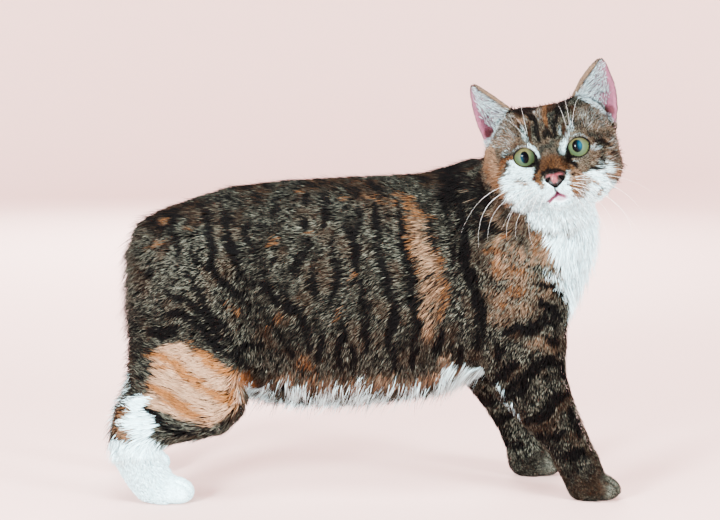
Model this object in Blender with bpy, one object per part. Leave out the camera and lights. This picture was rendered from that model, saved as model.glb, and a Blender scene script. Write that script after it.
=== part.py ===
"""A standing Manx cat at life size: a still model, in metres, +Z up, nose end of the body towards +X.

The body is modelled whole, out to the tips of its short coat, from lofted rings and ovals.
It is then parted with thin cuts into head, neck, trunk, legs and feet. Ears, eyes and the
nose leather are pieces of their own. The right side of the cat faces -Y, and its head is
turned to that side.
"""

import math

import bmesh
import bpy
import numpy as np
from mathutils import Vector

# ---- Driving dimensions, in millimetres -------------------------------------------------

MM = 0.001
CUT = 0.35                 # clearance between two pieces
FLOOR = 2.5                # level of the soles in the frame of the stations below
VOXEL = 2.6                # cell in which the masses of flesh are fused
FLESH_TRIANGLES = 4900     # of the whole fused body, before it is parted

RING_SIDES = 28

# The trunk along X: station, top of the back, underside, half width, sideways shift.
TRUNK = (
    (-176, 188, 152, 13, 0),
    (-170, 205, 122, 33, 0),
    (-156, 217, 104, 47, 0),
    (-130, 227, 94, 56, 0),
    (-95, 237, 80, 59, 0),
    (-55, 242, 73, 61, 0),
    (-15, 244, 72, 63, 0),
    (25, 245, 75, 63, 0),
    (60, 248, 80, 60, 0),
    (92, 250, 92, 56, -1),
    (118, 244, 104, 50, -3),
    (140, 226, 116, 40, -4),
    (154, 206, 132, 24, -5),
)
TRUNK_TAPER = 0.13         # how much narrower the back is than the belly

# The breast and throat, as rings up Z: height, X, Y, fore-and-aft radius, side radius.
BREAST = (
    (112, 112, -3, 24, 26),
    (124, 117, -3, 36, 38),
    (146, 122, -5, 43, 45),
    (170, 127, -6, 48, 48),
    (195, 131, -8, 50, 49),
    (216, 132, -12, 49, 46),
    (236, 134, -19, 43, 42),
    (254, 136, -26, 32, 34),
)

# The nape as a limb: X, Y, Z, radius in its plane, side radius.
NAPE = (
    (52, 2, 208, 36, 38),
    (78, 1, 214, 40, 42),
    (100, -1, 220, 40, 42),
    (120, -12, 230, 38, 40),
    (134, -28, 242, 36, 38),
)

# Limbs of the right side, from the body to the foot: X, Y, Z, fore-and-aft radius, side radius.
THIGH = (
    (-116, -22, 200, 38, 24),
    (-120, -32, 172, 52, 31),
    (-122, -40, 140, 51, 30),
    (-121, -45, 112, 51, 27),
    (-121, -48, 94, 51, 23),
    (-112, -48, 78, 33, 18),
    (-106, -48, 70, 20, 14),
)
SHANK = (
    (-94, -48, 96, 17, 15),
    (-108, -49, 82, 28, 19),
    (-130, -50, 75, 27, 18),
    (-152, -51, 69, 25, 16),
    (-166, -51, 65, 21.5, 14.5),
    (-174, -51, 54, 15, 12.5),
)
HIND_CANNON = (
    (-171, -51, 66, 15, 12),
    (-171, -51, 50, 17, 13),
    (-167, -51, 36, 17, 13),
    (-159, -50, 22, 17, 14),
    (-150, -50, 10, 15, 14),
)
SHOULDER = (
    (88, -26, 226, 26, 14),
    (104, -34, 196, 38, 20),
    (120, -40, 162, 38, 23),
    (122, -43, 132, 33, 22),
    (121, -43, 106, 33, 20),
    (118, -43, 90, 24, 16),
)
FOREARM = (
    (120, -43, 114, 28, 18),
    (126, -43, 98, 31.5, 18.5),
    (140, -42, 73, 23, 17),
    (152, -41, 54, 18.5, 15.5),
    (161, -41, 37, 16.5, 14.5),
    (168, -41, 22, 16, 15),
    (172, -41, 10, 14, 15),
)
PAW_RADII = (21, 16.5, 12.5)
PAW_HEIGHT = 11            # centre of the paw
HIND_PAW = (-145, -50)
FORE_PAW = (176, -41)
TOES = 4
TOE_RADII = (9.5, 4.9, 8.0)
TOE_PITCH = 7.6
TOE_REACH = 13.5           # from the centre of the paw to the middle toes' centres

# The left legs stand further back than the right ones: shift along X at the top and at the
# foot, and the power of the way down by which it grows.
LEFT_FORE_SHIFT = (-4, -38, 1)
LEFT_HIND_SHIFT = (0, -27, 7)

# The head: the point between the pupils, and how the face is turned.
EYES_AT = (138, -80, 269)
FACE_YAW = math.radians(9.5)   # from -Y towards -X
FACE_PITCH = math.radians(7)   # the gaze rises
FACE_ROLL = math.radians(11.5)  # the left eye is the higher one

# Masses of the head in its own frame: sideways (left +), up, forward, then the three radii.
SKULL = (
    ((0, 2, -46), (40, 35.5, 44)),
    ((0, 11, -24), (34, 23, 22)),
    ((0, -8, -26), (45, 33, 26)),
    ((0, -24, -36), (37, 22, 28)),
    ((0, -27, -6), (17, 13, 20)),
    ((0, -36, -3), (11.5, 8.5, 13.5)),
)
# Masses on both sides, with a sideways shift of the pair: the ruff bunches on the inner side
# of the turned neck.
PAIRED = (
    ((19, 6, -46), (27, 33, 38), 0),
    ((31, -13, -38), (22, 23, 28), -4.5),
    ((31, 4, -42), (19, 20, 24), -3),
    ((25, -24, -30), (20, 17, 24), -4),
    ((28, -1, -15.5), (11, 13, 11), 0),
    ((11, -6, -14.5), (9, 13, 12), 0),
    ((8.2, -26.5, 4), (11.5, 9.3, 11.5), 0),
    ((17, 11, -14), (13, 8, 13), 0),
)
BRIDGE = ((0, 12, -13, 9), (0, 0, -3, 8.6), (0, -9, 7, 8), (0, -16, 13, 7))
EYE_CENTRE = (19.6, 0, -10.4)
EYE_RADIUS = 10.8
NOSE_AT = (0, -20.7, 18.2)
NOSE_RADII = (6.2, 4.7, 3.6)

# The ears in the head's frame: the tip, the two ends of the root, and for the right and the
# left ear how far the inner and the outer edge bow out.
EAR_TIP = {-1: (51.0, 60.4, -33), 1: (45.6, 61.4, -33)}
EAR_INNER_ROOT = {-1: (20, 30, -42), 1: (15.8, 30, -42)}
EAR_OUTER_ROOT = (47, 10, -42)
EAR_BOWS = {-1: (1.2, 3.5), 1: (4.0, 5.4)}
EAR_CUP = 13               # depth of the cup at the root
EAR_WALL = 2.2
EAR_THIN = 0.45            # the wall at the tip and at the rim, as shares of the full one
EAR_RIM = 0.35
EAR_TIP_CUP = 0.08
EAR_TAPER = 1.5
EAR_FLARE = 4              # how far the rim comes forward at the root
EAR_BOW_IN = (-0.55, 0.83, 0)
EAR_BOW_OUT = (0.93, 0.1, 0)
EAR_BLUNT = np.array((1.6, -0.6, 0))   # half the width of the rounded tip
EAR_ROWS = 8
EAR_COLUMNS = 6

# The oval that parts the head from the neck, in the head's frame.
HEAD_OVAL_AT = (0, 1, -29)
HEAD_OVAL = (66, 54, 67)

# Rounded boxes that part the right legs from the trunk: Z, X, Y outwards, half length, half width.
HIND_SLEEVE = (
    (-20, -140, 58, 76, 48),
    (40, -140, 58, 76, 50),
    (78, -128, 60, 72, 50),
    (112, -124, 62, 66, 50),
    (150, -124, 68, 60, 48),
    (186, -122, 76, 46, 42),
    (206, -120, 84, 24, 28),
)
FORE_SLEEVE = (
    (-20, 158, 48, 64, 40),
    (40, 150, 48, 58, 40),
    (78, 134, 50, 54, 40),
    (110, 124, 56, 46, 41),
    (150, 118, 64, 42, 42),
    (190, 106, 70, 34, 38),
    (214, 96, 76, 18, 26),
)
FORE_SLEEVE_TOP = 150      # the left one is shifted below here
FORE_SLEEVE_DROP = 140     # and by the whole shift this far lower

# Planes that part the feet from the legs and the neck from the trunk: a point, and the normal.
HOCK_CUT = ((-162, 0, 42), (0.1, 0, -1))
WRIST_CUT = ((150, 0, 30), (0.35, 0, -1))
NECK_CUT = ((100, 0, 214), (0.62, -0.12, 0.77))


# ---- Making shapes ----------------------------------------------------------------------


def clear_scene():
    for thing in list(bpy.data.objects):
        bpy.data.objects.remove(thing, do_unlink=True)


def make_object(name, points, faces):
    """A mesh object from points in millimetres."""
    mesh = bpy.data.meshes.new(name)
    mesh.from_pydata([tuple(c * MM for c in p) for p in points], [], faces)
    thing = bpy.data.objects.new(name, mesh)
    bpy.context.scene.collection.objects.link(thing)
    return thing


def smooth_rows(rows, steps=3):
    """Catmull-Rom curve through each column of the rows, with steps rings between two of them."""
    rows = np.array(rows, float)
    padded = np.vstack([2 * rows[0] - rows[1], rows, 2 * rows[-1] - rows[-2]])
    out = []
    for i in range(len(rows) - 1):
        a, b, c, d = padded[i:i + 4]
        for t in np.arange(steps) / steps:
            out.append(0.5 * (2 * b + (c - a) * t + (2 * a - 5 * b + 4 * c - d) * t**2
                              + (3 * b - a - 3 * c + d) * t**3))
    out.append(rows[-1])
    return np.array(out)


def loft(name, rings):
    """A closed solid through rings of equal length, its ends closed by fans."""
    count, sides = len(rings), len(rings[0])
    points = [p for ring in rings for p in ring]
    faces = []
    for i in range(count - 1):
        for j in range(sides):
            k = (j + 1) % sides
            faces.append((i * sides + j, i * sides + k, (i + 1) * sides + k, (i + 1) * sides + j))
    for i in (0, count - 1):
        hub = len(points)
        points.append(np.mean(rings[i], axis=0))
        for j in range(sides):
            k = (j + 1) % sides
            pair = (j, k) if i else (k, j)
            faces.append((i * sides + pair[0], i * sides + pair[1], hub))
    return make_object(name, points, outward(points, faces))


def outward(points, faces):
    """The faces, turned round if they point into the solid."""
    volume = 0.0
    for face in faces:
        a, b, c = (np.array(points[i]) for i in face[:3])
        volume += np.dot(a, np.cross(b, c))
        if len(face) == 4:
            d = np.array(points[face[3]])
            volume += np.dot(a, np.cross(c, d))
    return faces if volume > 0 else [face[::-1] for face in faces]


def ring(centre, along_u, along_v, sides=RING_SIDES, taper=0.0):
    """An oval ring; taper narrows its +V half against its -V half."""
    turns = np.linspace(0, 2 * math.pi, sides, endpoint=False)
    cosine, sine = np.cos(turns)[:, None], np.sin(turns)[:, None]
    return np.array(centre) + cosine * (1 - taper * sine) * along_u + sine * np.array(along_v)


def limb(name, rows, sides=RING_SIDES):
    """A loft along a bent path of rows X, Y, Z, radius in the bending plane, side radius."""
    rows = smooth_rows(rows)
    rings = []
    for i, (x, y, z, deep, wide) in enumerate(rows):
        ahead = rows[min(i + 1, len(rows) - 1), :3] - rows[max(i - 1, 0), :3]
        ahead /= np.linalg.norm(ahead)
        side = np.array((0, 1, 0)) - ahead * ahead[1]
        side /= np.linalg.norm(side)
        rings.append(ring((x, y, z), side * wide, np.cross(ahead, side) * deep, sides))
    return loft(name, rings)


def oval(name, centre, radii, axes=np.eye(3), rings=16, sides=24):
    """An ellipsoid whose radii lie along the three axes."""
    centre, axes = np.array(centre, float), np.array(axes, float)
    slices = []
    for turn in np.linspace(0, math.pi, rings + 1)[1:-1]:
        height = math.cos(turn) * radii[2] * axes[2]
        slices.append(ring(centre + height, axes[0] * radii[0] * math.sin(turn),
                           axes[1] * radii[1] * math.sin(turn), sides))
    return loft(name, slices)


def baked(name, source, *modifiers):
    """A new object holding the source's mesh after the given modifiers, which are then dropped."""
    for kind, settings in modifiers:
        modifier = source.modifiers.new(kind.title(), kind)
        for key, value in settings.items():
            setattr(modifier, key, value)
    bpy.context.view_layer.update()
    graph = bpy.context.evaluated_depsgraph_get()
    mesh = bpy.data.meshes.new_from_object(source.evaluated_get(graph))
    source.modifiers.clear()
    thing = bpy.data.objects.new(name, mesh)
    bpy.context.scene.collection.objects.link(thing)
    return thing


def remove(*things):
    for thing in things:
        bpy.data.objects.remove(thing, do_unlink=True)


def fused(name, masses):
    """One mesh holding all the masses' shells."""
    shape = bmesh.new()
    for mass in masses:
        shape.from_mesh(mass.data)
    mesh = bpy.data.meshes.new(name)
    shape.to_mesh(mesh)
    shape.free()
    thing = bpy.data.objects.new(name, mesh)
    bpy.context.scene.collection.objects.link(thing)
    remove(*masses)
    return thing


# ---- The head's own frame ---------------------------------------------------------------


def head_axes():
    """Unit vectors of the face: to the cat's left, up, and forward out of the face."""
    level = Vector((-math.sin(FACE_YAW), -math.cos(FACE_YAW), 0))
    forward = level * math.cos(FACE_PITCH) + Vector((0, 0, math.sin(FACE_PITCH)))
    left = forward.cross(Vector((0, 0, 1))).normalized() * -1
    up = forward.cross(left)
    tilted = left * math.cos(FACE_ROLL) + up * math.sin(FACE_ROLL)
    return np.array((tilted, forward.cross(tilted), forward))


FACE = head_axes()


def on_head(place):
    """Body coordinates of a place in the head's frame, in millimetres."""
    return np.array(EYES_AT) + np.array(place, float) @ FACE


def mirrored(place, side):
    return (place[0] * side, place[1], place[2])


# ---- The masses of flesh ----------------------------------------------------------------


def trunk_masses():
    rings = []
    for x, top, bottom, half, shift in smooth_rows(TRUNK):
        rings.append(ring((x, shift, (top + bottom) / 2), np.array((0, half, 0)),
                          (0, 0, (top - bottom) / 2), taper=TRUNK_TAPER))
    yield loft("trunk_mass", rings)
    rings = []
    for z, x, y, deep, wide in smooth_rows(BREAST):
        rings.append(ring((x, y, z), np.array((deep, 0, 0)), (0, wide, 0)))
    yield loft("breast_mass", rings)
    yield limb("nape_mass", NAPE)


def placed(rows, side, shift):
    """The rows of a right limb, or of the left one mirrored and shifted along X down its length."""
    if side < 0:
        return rows
    high, low = max(SHOULDER[0][2], THIGH[0][2]), PAW_HEIGHT
    moved = []
    for x, y, z, deep, wide in rows:
        share = min(1.0, (high - z) / (high - low)) ** shift[2]
        moved.append((x + shift[0] + (shift[1] - shift[0]) * share, -y, z, deep, wide))
    return moved


def paw_masses(name, x, y):
    yield oval(f"{name}_pad", (x, y, PAW_HEIGHT), PAW_RADII)
    for toe in range(TOES):
        across = (toe - (TOES - 1) / 2) * TOE_PITCH
        inner = 1 if abs(across) < TOE_PITCH else 0
        place = (x + TOE_REACH - 4 * (1 - inner), y + across, PAW_HEIGHT - 1.5)
        yield oval(f"{name}_toe_{toe}", place, TOE_RADII, rings=10, sides=14)


def leg_masses():
    for side in (-1, 1):
        for rows in (SHOULDER, FOREARM):
            yield limb("fore_mass", placed(rows, side, LEFT_FORE_SHIFT))
        for rows in (THIGH, SHANK, HIND_CANNON):
            yield limb("hind_mass", placed(rows, side, LEFT_HIND_SHIFT))
        fore_x = FORE_PAW[0] + (LEFT_FORE_SHIFT[1] if side > 0 else 0)
        hind_x = HIND_PAW[0] + (LEFT_HIND_SHIFT[1] if side > 0 else 0)
        yield from paw_masses("fore_paw", fore_x, -side * FORE_PAW[1])
        yield from paw_masses("hind_paw", hind_x, -side * HIND_PAW[1])


def head_masses():
    for place, radii in SKULL:
        yield oval("skull_mass", on_head(place), radii, FACE)
    for side in (-1, 1):
        for place, radii, shift in PAIRED:
            middle = on_head(mirrored(place, side)) + FACE[0] * shift
            yield oval("cheek_mass", middle, radii, FACE)
    rings = []
    for *place, radius in smooth_rows(BRIDGE):
        across = FACE[0] * radius
        rise = (FACE[1] * 0.7 + FACE[2] * 0.7) * radius
        rings.append(ring(on_head(place), across, rise, 16))
    yield loft("bridge_mass", rings)


def head_share(mesh):
    """A weight for each vertex: 1 on the head, less on the feet, 0 on the trunk."""
    places = np.empty(len(mesh.vertices) * 3)
    mesh.vertices.foreach_get("co", places)
    places = places.reshape(-1, 3) / MM
    ahead = (places - EYES_AT) @ FACE.T
    head = np.clip((ahead[:, 2] + 60) / 20, 0, 1) * np.clip((ahead[:, 1] + 52) / 8, 0, 1)
    head *= np.linalg.norm(ahead, axis=1) < 90
    feet = np.clip((45 - places[:, 2]) / 20, 0, 1)
    return np.maximum(head, 0.6 * feet)


def fused_body():
    """The whole body as one faceted solid, standing on the flats of its four paws."""
    masses = [*trunk_masses(), *leg_masses(), *head_masses()]
    rough = fused("rough", masses)
    body = baked(
        "body", rough,
        ("REMESH", {"mode": "VOXEL", "voxel_size": VOXEL * MM}),
        ("SMOOTH", {"factor": 0.5, "iterations": 6}),
    )
    remove(rough)
    group = body.vertex_groups.new(name="keep")
    for index, share in enumerate(head_share(body.data)):
        group.add([index], 1 - 0.45 * float(share), "REPLACE")
    triangles = sum(len(p.vertices) - 2 for p in body.data.polygons)
    lighter = baked(
        "lighter", body,
        ("DECIMATE", {"ratio": FLESH_TRIANGLES / triangles, "vertex_group": "keep",
                      "use_collapse_triangulate": True}),
    )
    remove(body)
    floor = block("floor", (0, 0, FLOOR - 50), (500, 300, 50))
    standing = baked("standing", lighter, cut_by(floor))
    remove(lighter, floor)
    return standing


# ---- Parting the body -------------------------------------------------------------------


def block(name, centre, half, axes=np.eye(3)):
    """A box with its half sizes along the three axes."""
    axes = np.array(axes, float)
    points = []
    for x in (-1, 1):
        for y in (-1, 1):
            for z in (-1, 1):
                points.append(np.array(centre) + np.array((x, y, z)) * half @ axes)
    faces = [(0, 1, 3, 2), (4, 6, 7, 5), (0, 4, 5, 1), (2, 3, 7, 6), (0, 2, 6, 4), (1, 5, 7, 3)]
    return make_object(name, points, outward(points, faces))


def cut_by(cutter, operation="DIFFERENCE"):
    return ("BOOLEAN", {"object": cutter, "operation": operation, "solver": "EXACT"})


def parted(body, name, inner, outer):
    """Takes the part of the body inside the inner cutter, and leaves what is outside the outer one."""
    piece = baked(name, body, cut_by(inner, "INTERSECT"))
    rest = baked("rest", body, cut_by(outer))
    remove(body, inner, outer)
    return piece, rest


def sleeve(name, rows, grow, sides=20):
    """A tall closed cutter round a limb: rows Z, X, Y, half length, half width."""
    rings = []
    for z, x, y, deep, wide in smooth_rows(rows, 2):
        rings.append(ring((x, y, z), np.array((deep + grow, 0, 0)), (0, wide + grow, 0), sides))
    return loft(name, rings)


def taller(rows, grow):
    """The rows with the top one raised."""
    return [*rows[:-1], (rows[-1][0] + grow, *rows[-1][1:])]


def hind_sleeve(side, grow):
    rows = taller(HIND_SLEEVE, grow)
    return sleeve("hind_sleeve", [(z, x, y * side, a, b) for z, x, y, a, b in rows], grow)


def fore_sleeve(side, grow):
    shift = LEFT_FORE_SHIFT[1] if side > 0 else 0
    moved = []
    for z, x, y, a, b in taller(FORE_SLEEVE, grow):
        moved_by = shift * np.clip((FORE_SLEEVE_TOP - z) / FORE_SLEEVE_DROP, 0, 1)
        moved.append((z, x + moved_by, y * side, a, b))
    return sleeve("fore_sleeve", moved, grow)


def half_space(name, place, normal, grow):
    """A big block on the side that the normal points to, starting grow short of the place."""
    normal = Vector(normal).normalized()
    across = normal.orthogonal().normalized()
    axes = np.array((across, normal.cross(across), normal))
    reach = 300.0
    centre = np.array(place) + np.array(normal) * (reach - grow)
    return block(name, centre, (reach, reach, reach), axes)


def split_at(body, name, place, normal):
    """Parts off what lies beyond a plane."""
    return parted(body, name, half_space("inner", place, normal, -CUT / 2),
                  half_space("outer", place, normal, CUT / 2))


def part_body(body):
    """The fused body as named nodes of flesh."""
    pieces = {}
    ovals = [oval("round_the_head", on_head(HEAD_OVAL_AT), np.array(HEAD_OVAL) + grow, FACE)
             for grow in (-CUT / 2, CUT / 2)]
    pieces["head"], body = parted(body, "head", *ovals)
    for word, side in (("right", -1), ("left", 1)):
        leg, body = parted(body, "leg", hind_sleeve(side, -CUT / 2), hind_sleeve(side, CUT / 2))
        foot, leg = split_at(leg, f"hindfoot_{word}", *HOCK_CUT)
        pieces[f"hindfoot_{word}"], pieces[f"hindleg_{word}"] = foot, leg
        leg, body = parted(body, "leg", fore_sleeve(side, -CUT / 2), fore_sleeve(side, CUT / 2))
        foot, leg = split_at(leg, f"forefoot_{word}", *WRIST_CUT)
        pieces[f"forefoot_{word}"], pieces[f"foreleg_{word}"] = foot, leg
    pieces["neck"], pieces["trunk"] = split_at(body, "neck", *NECK_CUT)
    return pieces


# ---- Ears, eyes and nose ----------------------------------------------------------------


def ear(side):
    """A cupped shell: rows from the root to the tip, each an arc open to the front."""
    inner, outer = np.array(EAR_INNER_ROOT[side], float), np.array(EAR_OUTER_ROOT, float)
    tip = np.array(EAR_TIP[side], float)
    layers = []
    for skin in (0.0, 1.0):
        for i in range(EAR_ROWS):
            rise = i / (EAR_ROWS - 1)
            narrowing = 1 - rise**EAR_TAPER
            bow_in, bow_out = (bow * math.sin(math.pi * rise) for bow in EAR_BOWS[side])
            left_edge = inner + (tip - EAR_BLUNT - inner) * rise + np.array(EAR_BOW_IN) * bow_in
            right_edge = outer + (tip + EAR_BLUNT - outer) * rise + np.array(EAR_BOW_OUT) * bow_out
            wall = EAR_WALL * (EAR_THIN + (1 - EAR_THIN) * narrowing)
            for j in range(EAR_COLUMNS + 1):
                share = j / EAR_COLUMNS
                cup = math.sin(math.pi * share)
                place = left_edge + (right_edge - left_edge) * share
                place[2] -= EAR_CUP * cup * (narrowing + EAR_TIP_CUP)
                place[2] -= wall * skin * (EAR_RIM + (1 - EAR_RIM) * cup)
                place[2] += EAR_FLARE * (1 - cup) * (1 - rise)
                layers.append(on_head(mirrored(place, side)))
    width = EAR_COLUMNS + 1
    count = EAR_ROWS * width
    faces = []
    for i in range(EAR_ROWS - 1):
        for j in range(EAR_COLUMNS):
            a, b = i * width + j, (i + 1) * width + j
            faces.append((a, a + 1, b + 1, b))
            faces.append((count + a, count + b, count + b + 1, count + a + 1))
    rim = [j for j in range(width)]
    rim += [i * width + EAR_COLUMNS for i in range(1, EAR_ROWS)]
    rim += [(EAR_ROWS - 1) * width + j for j in range(EAR_COLUMNS - 1, -1, -1)]
    rim += [i * width for i in range(EAR_ROWS - 2, 0, -1)]
    for a, b in zip(rim, rim[1:] + rim[:1]):
        faces.append((b, a, count + a, count + b))
    return make_object("ear", layers, outward(layers, faces))


def grown(thing, by):
    """A copy whose surface lies further out by a distance in millimetres."""
    return baked("grown", thing, ("DISPLACE", {"strength": by * MM, "mid_level": 0.0}))


def add_features(pieces):
    """Ears, eyeballs and nose leather, each cut clear of the head."""
    head = pieces["head"]
    shell = grown(head, CUT)
    for word, side in (("right", -1), ("left", 1)):
        whole = ear(side)
        pieces[f"ear_{word}"] = baked(f"ear_{word}", whole, cut_by(shell))
        remove(whole)
        centre = on_head(mirrored(EYE_CENTRE, side))
        pieces[f"eye_{word}"] = oval(f"eye_{word}", centre, [EYE_RADIUS] * 3, FACE, 9, 16)
        socket = oval("socket", centre, [EYE_RADIUS + CUT] * 3, FACE, 9, 16)
        deeper = baked("head", head, cut_by(socket))
        remove(head, socket)
        head = deeper
    nose = oval("nose", on_head(NOSE_AT), NOSE_RADII, FACE, 8, 14)
    bed = oval("bed", on_head(NOSE_AT), [r + CUT for r in NOSE_RADII], FACE, 10, 18)
    pieces["nose"] = nose
    pieces["head"] = baked("head", head, cut_by(bed))
    remove(head, bed, shell)


# ---- Finishes and placing ---------------------------------------------------------------


FINISHES = {
    "head": ((0.42, 0.35, 0.28, 1), 0.8),
    "neck": ((0.33, 0.27, 0.21, 1), 0.8),
    "trunk": ((0.24, 0.21, 0.17, 1), 0.8),
    "hindleg": ((0.62, 0.45, 0.30, 1), 0.8),
    "foreleg": ((0.28, 0.24, 0.19, 1), 0.8),
    "hindfoot": ((0.85, 0.86, 0.86, 1), 0.8),
    "forefoot": ((0.30, 0.25, 0.20, 1), 0.8),
    "ear": ((0.45, 0.36, 0.33, 1), 0.8),
    "eye": ((0.35, 0.42, 0.22, 1), 0.08),
    "nose": ((0.62, 0.32, 0.30, 1), 0.45),
}


def finish(piece):
    """Gives the piece its name and a plain coloured surface."""
    colour, roughness = FINISHES[piece.name.split("_")[0]]
    material = bpy.data.materials.new(piece.name)
    material.use_nodes = True
    shader = material.node_tree.nodes["Principled BSDF"]
    shader.inputs["Base Color"].default_value = colour
    shader.inputs["Roughness"].default_value = roughness
    shader.inputs["Metallic"].default_value = 0.0
    piece.data.materials.clear()
    piece.data.materials.append(material)


def to_origin(pieces):
    """Shifts all pieces so that the middle of their common box stands over the origin."""
    corners = np.array([v.co for piece in pieces for v in piece.data.vertices])
    middle = (corners.min(axis=0) + corners.max(axis=0)) / 2
    for piece in pieces:
        for vertex in piece.data.vertices:
            vertex.co.x -= middle[0]
            vertex.co.y -= middle[1]
            vertex.co.z -= FLOOR * MM


clear_scene()
nodes = part_body(fused_body())
add_features(nodes)
for node_name, node in nodes.items():
    node.name = node_name
    finish(node)
to_origin(nodes.values())
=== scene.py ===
"""A tailless Manx cat, life size: one skin under a tufted coat, eyes, nose and whiskers."""

import math
from functools import reduce

import bmesh
import bpy
import numpy as np
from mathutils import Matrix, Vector
from mathutils.bvhtree import BVHTree
from mathutils.kdtree import KDTree


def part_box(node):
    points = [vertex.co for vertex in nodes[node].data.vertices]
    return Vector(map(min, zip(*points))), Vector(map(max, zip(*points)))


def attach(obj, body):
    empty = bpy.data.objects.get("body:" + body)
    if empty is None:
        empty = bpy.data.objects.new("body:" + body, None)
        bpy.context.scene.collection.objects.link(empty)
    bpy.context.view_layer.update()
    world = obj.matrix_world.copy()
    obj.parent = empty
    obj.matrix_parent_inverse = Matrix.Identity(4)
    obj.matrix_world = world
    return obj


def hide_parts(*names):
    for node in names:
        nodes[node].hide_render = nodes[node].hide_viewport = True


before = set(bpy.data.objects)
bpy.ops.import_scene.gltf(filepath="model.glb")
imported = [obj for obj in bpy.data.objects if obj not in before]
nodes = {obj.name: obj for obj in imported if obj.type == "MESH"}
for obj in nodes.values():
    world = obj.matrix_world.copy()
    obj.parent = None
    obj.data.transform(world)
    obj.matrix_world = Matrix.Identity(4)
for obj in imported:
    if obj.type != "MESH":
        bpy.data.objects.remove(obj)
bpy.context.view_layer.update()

# ==== The skin: one unbroken hide over the whole animal, from nose to heels ====
# The flesh of every part is closed up into one body, smoothed as muscle is, and drawn in by the
# depth of the coat that covers it. Lids, nose bed, lips, whisker pads and toes are then modelled.

MM = 0.001
node_names = sorted(nodes)
FLESH = [name for name in node_names if name not in ("eye_left", "eye_right", "nose")]
ON_HEAD = ("head", "eye", "nose")
FORM_GRAIN = 2.6                # size of the faces as the form is closed up, and as the skin is
SKIN_GRAIN = 1.35
SWELL = 0.35                    # the nodes grow this much, so that they overlap
EAR_SWELL = 0.7


def read(items, key, width, number=np.float32):
    """A value of each item, as the rows of an array."""
    values = np.empty(len(items) * width, number)
    items.foreach_get(key, values)
    return values.reshape(-1, width)


def read_points(mesh):
    return read(mesh.vertices, "co", 3).astype(float) / MM


def write_points(mesh, places):
    mesh.vertices.foreach_set("co", (places * MM).astype(np.float32).ravel())
    mesh.update()


def read_normals(mesh):
    return read(mesh.vertex_normals, "vector", 3).astype(float)


def read_edges(mesh):
    return read(mesh.edges, "vertices", 2, np.int32)


def read_triangles(mesh):
    mesh.calc_loop_triangles()
    return read(mesh.loop_triangles, "vertices", 3, np.int32)


def surface_tree(places, faces):
    return BVHTree.FromPolygons([tuple(place) for place in places], faces.tolist())


def unit(vectors):
    return vectors / np.maximum(np.linalg.norm(vectors, axis=-1, keepdims=True), 1e-9)


def ramp(value, low, high):
    """0 below low, 1 above high, and an even S between them."""
    share = np.clip((value - low) / (high - low), 0, 1)
    return share * share * (3 - 2 * share)


def hump(x, y=0.0):
    """1 where x and y are 0, falling away to next to nothing at 2."""
    return np.exp(-(x ** 2) - y ** 2)


def most(*masks):
    return reduce(np.maximum, masks)


def spread(values, ends, passes, share=0.5):
    """Moves the value of each point towards the mean of its neighbours."""
    count = len(values)
    columns = values.reshape(count, -1).T.copy()
    near = np.bincount(ends.ravel(), minlength=count)
    for _ in range(passes):
        for column in columns:
            total = np.bincount(ends[:, 0], column[ends[:, 1]], count)
            total += np.bincount(ends[:, 1], column[ends[:, 0]], count)
            column += share * (total / near - column)
    return columns.T.reshape(values.shape)


def evened(places, ends, passes):
    """Smooths a surface without letting it shrink: a step in, and a slightly longer step out."""
    for _ in range(passes):
        places = spread(places, ends, 1, 0.6)
        places = spread(places, ends, 1, -0.62)
    return places


def changed(thing, *modifiers):
    """A new mesh of the object as its modifiers leave it."""
    for kind, settings in modifiers:
        modifier = thing.modifiers.new(kind.lower(), kind)
        for key, value in settings.items():
            setattr(modifier, key, value)
    graph = bpy.context.evaluated_depsgraph_get()
    mesh = bpy.data.meshes.new_from_object(thing.evaluated_get(graph))
    thing.modifiers.clear()
    return mesh


def piece(name, mesh, smooth=True):
    thing = bpy.data.objects.new(name, mesh)
    bpy.context.scene.collection.objects.link(thing)
    if smooth:
        mesh.shade_smooth()
    return thing


def joined(parts):
    """Meshes laid together as one."""
    whole = bmesh.new()
    for part in parts:
        whole.from_mesh(part)
        bpy.data.meshes.remove(part)
    mesh = bpy.data.meshes.new("joined")
    whole.to_mesh(mesh)
    whole.free()
    return mesh


def swollen(mesh, amount):
    """The mesh with its points merged and moved out along their normals."""
    part = bmesh.new()
    part.from_mesh(mesh)
    bmesh.ops.remove_doubles(part, verts=part.verts, dist=1e-6)
    part.normal_update()
    outward = [vertex.normal.copy() for vertex in part.verts]
    for vertex, normal in zip(part.verts, outward):
        vertex.co += normal * amount * MM
    thicker = bpy.data.meshes.new(mesh.name)
    part.to_mesh(thicker)
    part.free()
    return thicker


def outer_shell(mesh):
    """Keeps the largest connected shell of a mesh."""
    shell = bmesh.new()
    shell.from_mesh(mesh)
    unseen = set(shell.verts)
    groups = []
    while unseen:
        reached = [unseen.pop()]
        for vertex in reached:
            for edge in vertex.link_edges:
                other = edge.other_vert(vertex)
                if other in unseen:
                    unseen.remove(other)
                    reached.append(other)
        groups.append(reached)
    groups.sort(key=len)
    for group in groups[:-1]:
        bmesh.ops.delete(shell, geom=group, context="VERTS")
    shell.to_mesh(mesh)
    shell.free()


# The head's own frame: its origin lies midway between the eyes, and its axes point to the head's
# left, up, and forward out of the face.
HEAD_YAW = math.radians(9.5)
HEAD_PITCH = math.radians(7)
HEAD_ROLL = math.radians(11.5)
EYE_BACK = 10.4             # the eyeballs' centres lie this far behind the brow
EYE_APART = 19.6


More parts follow.
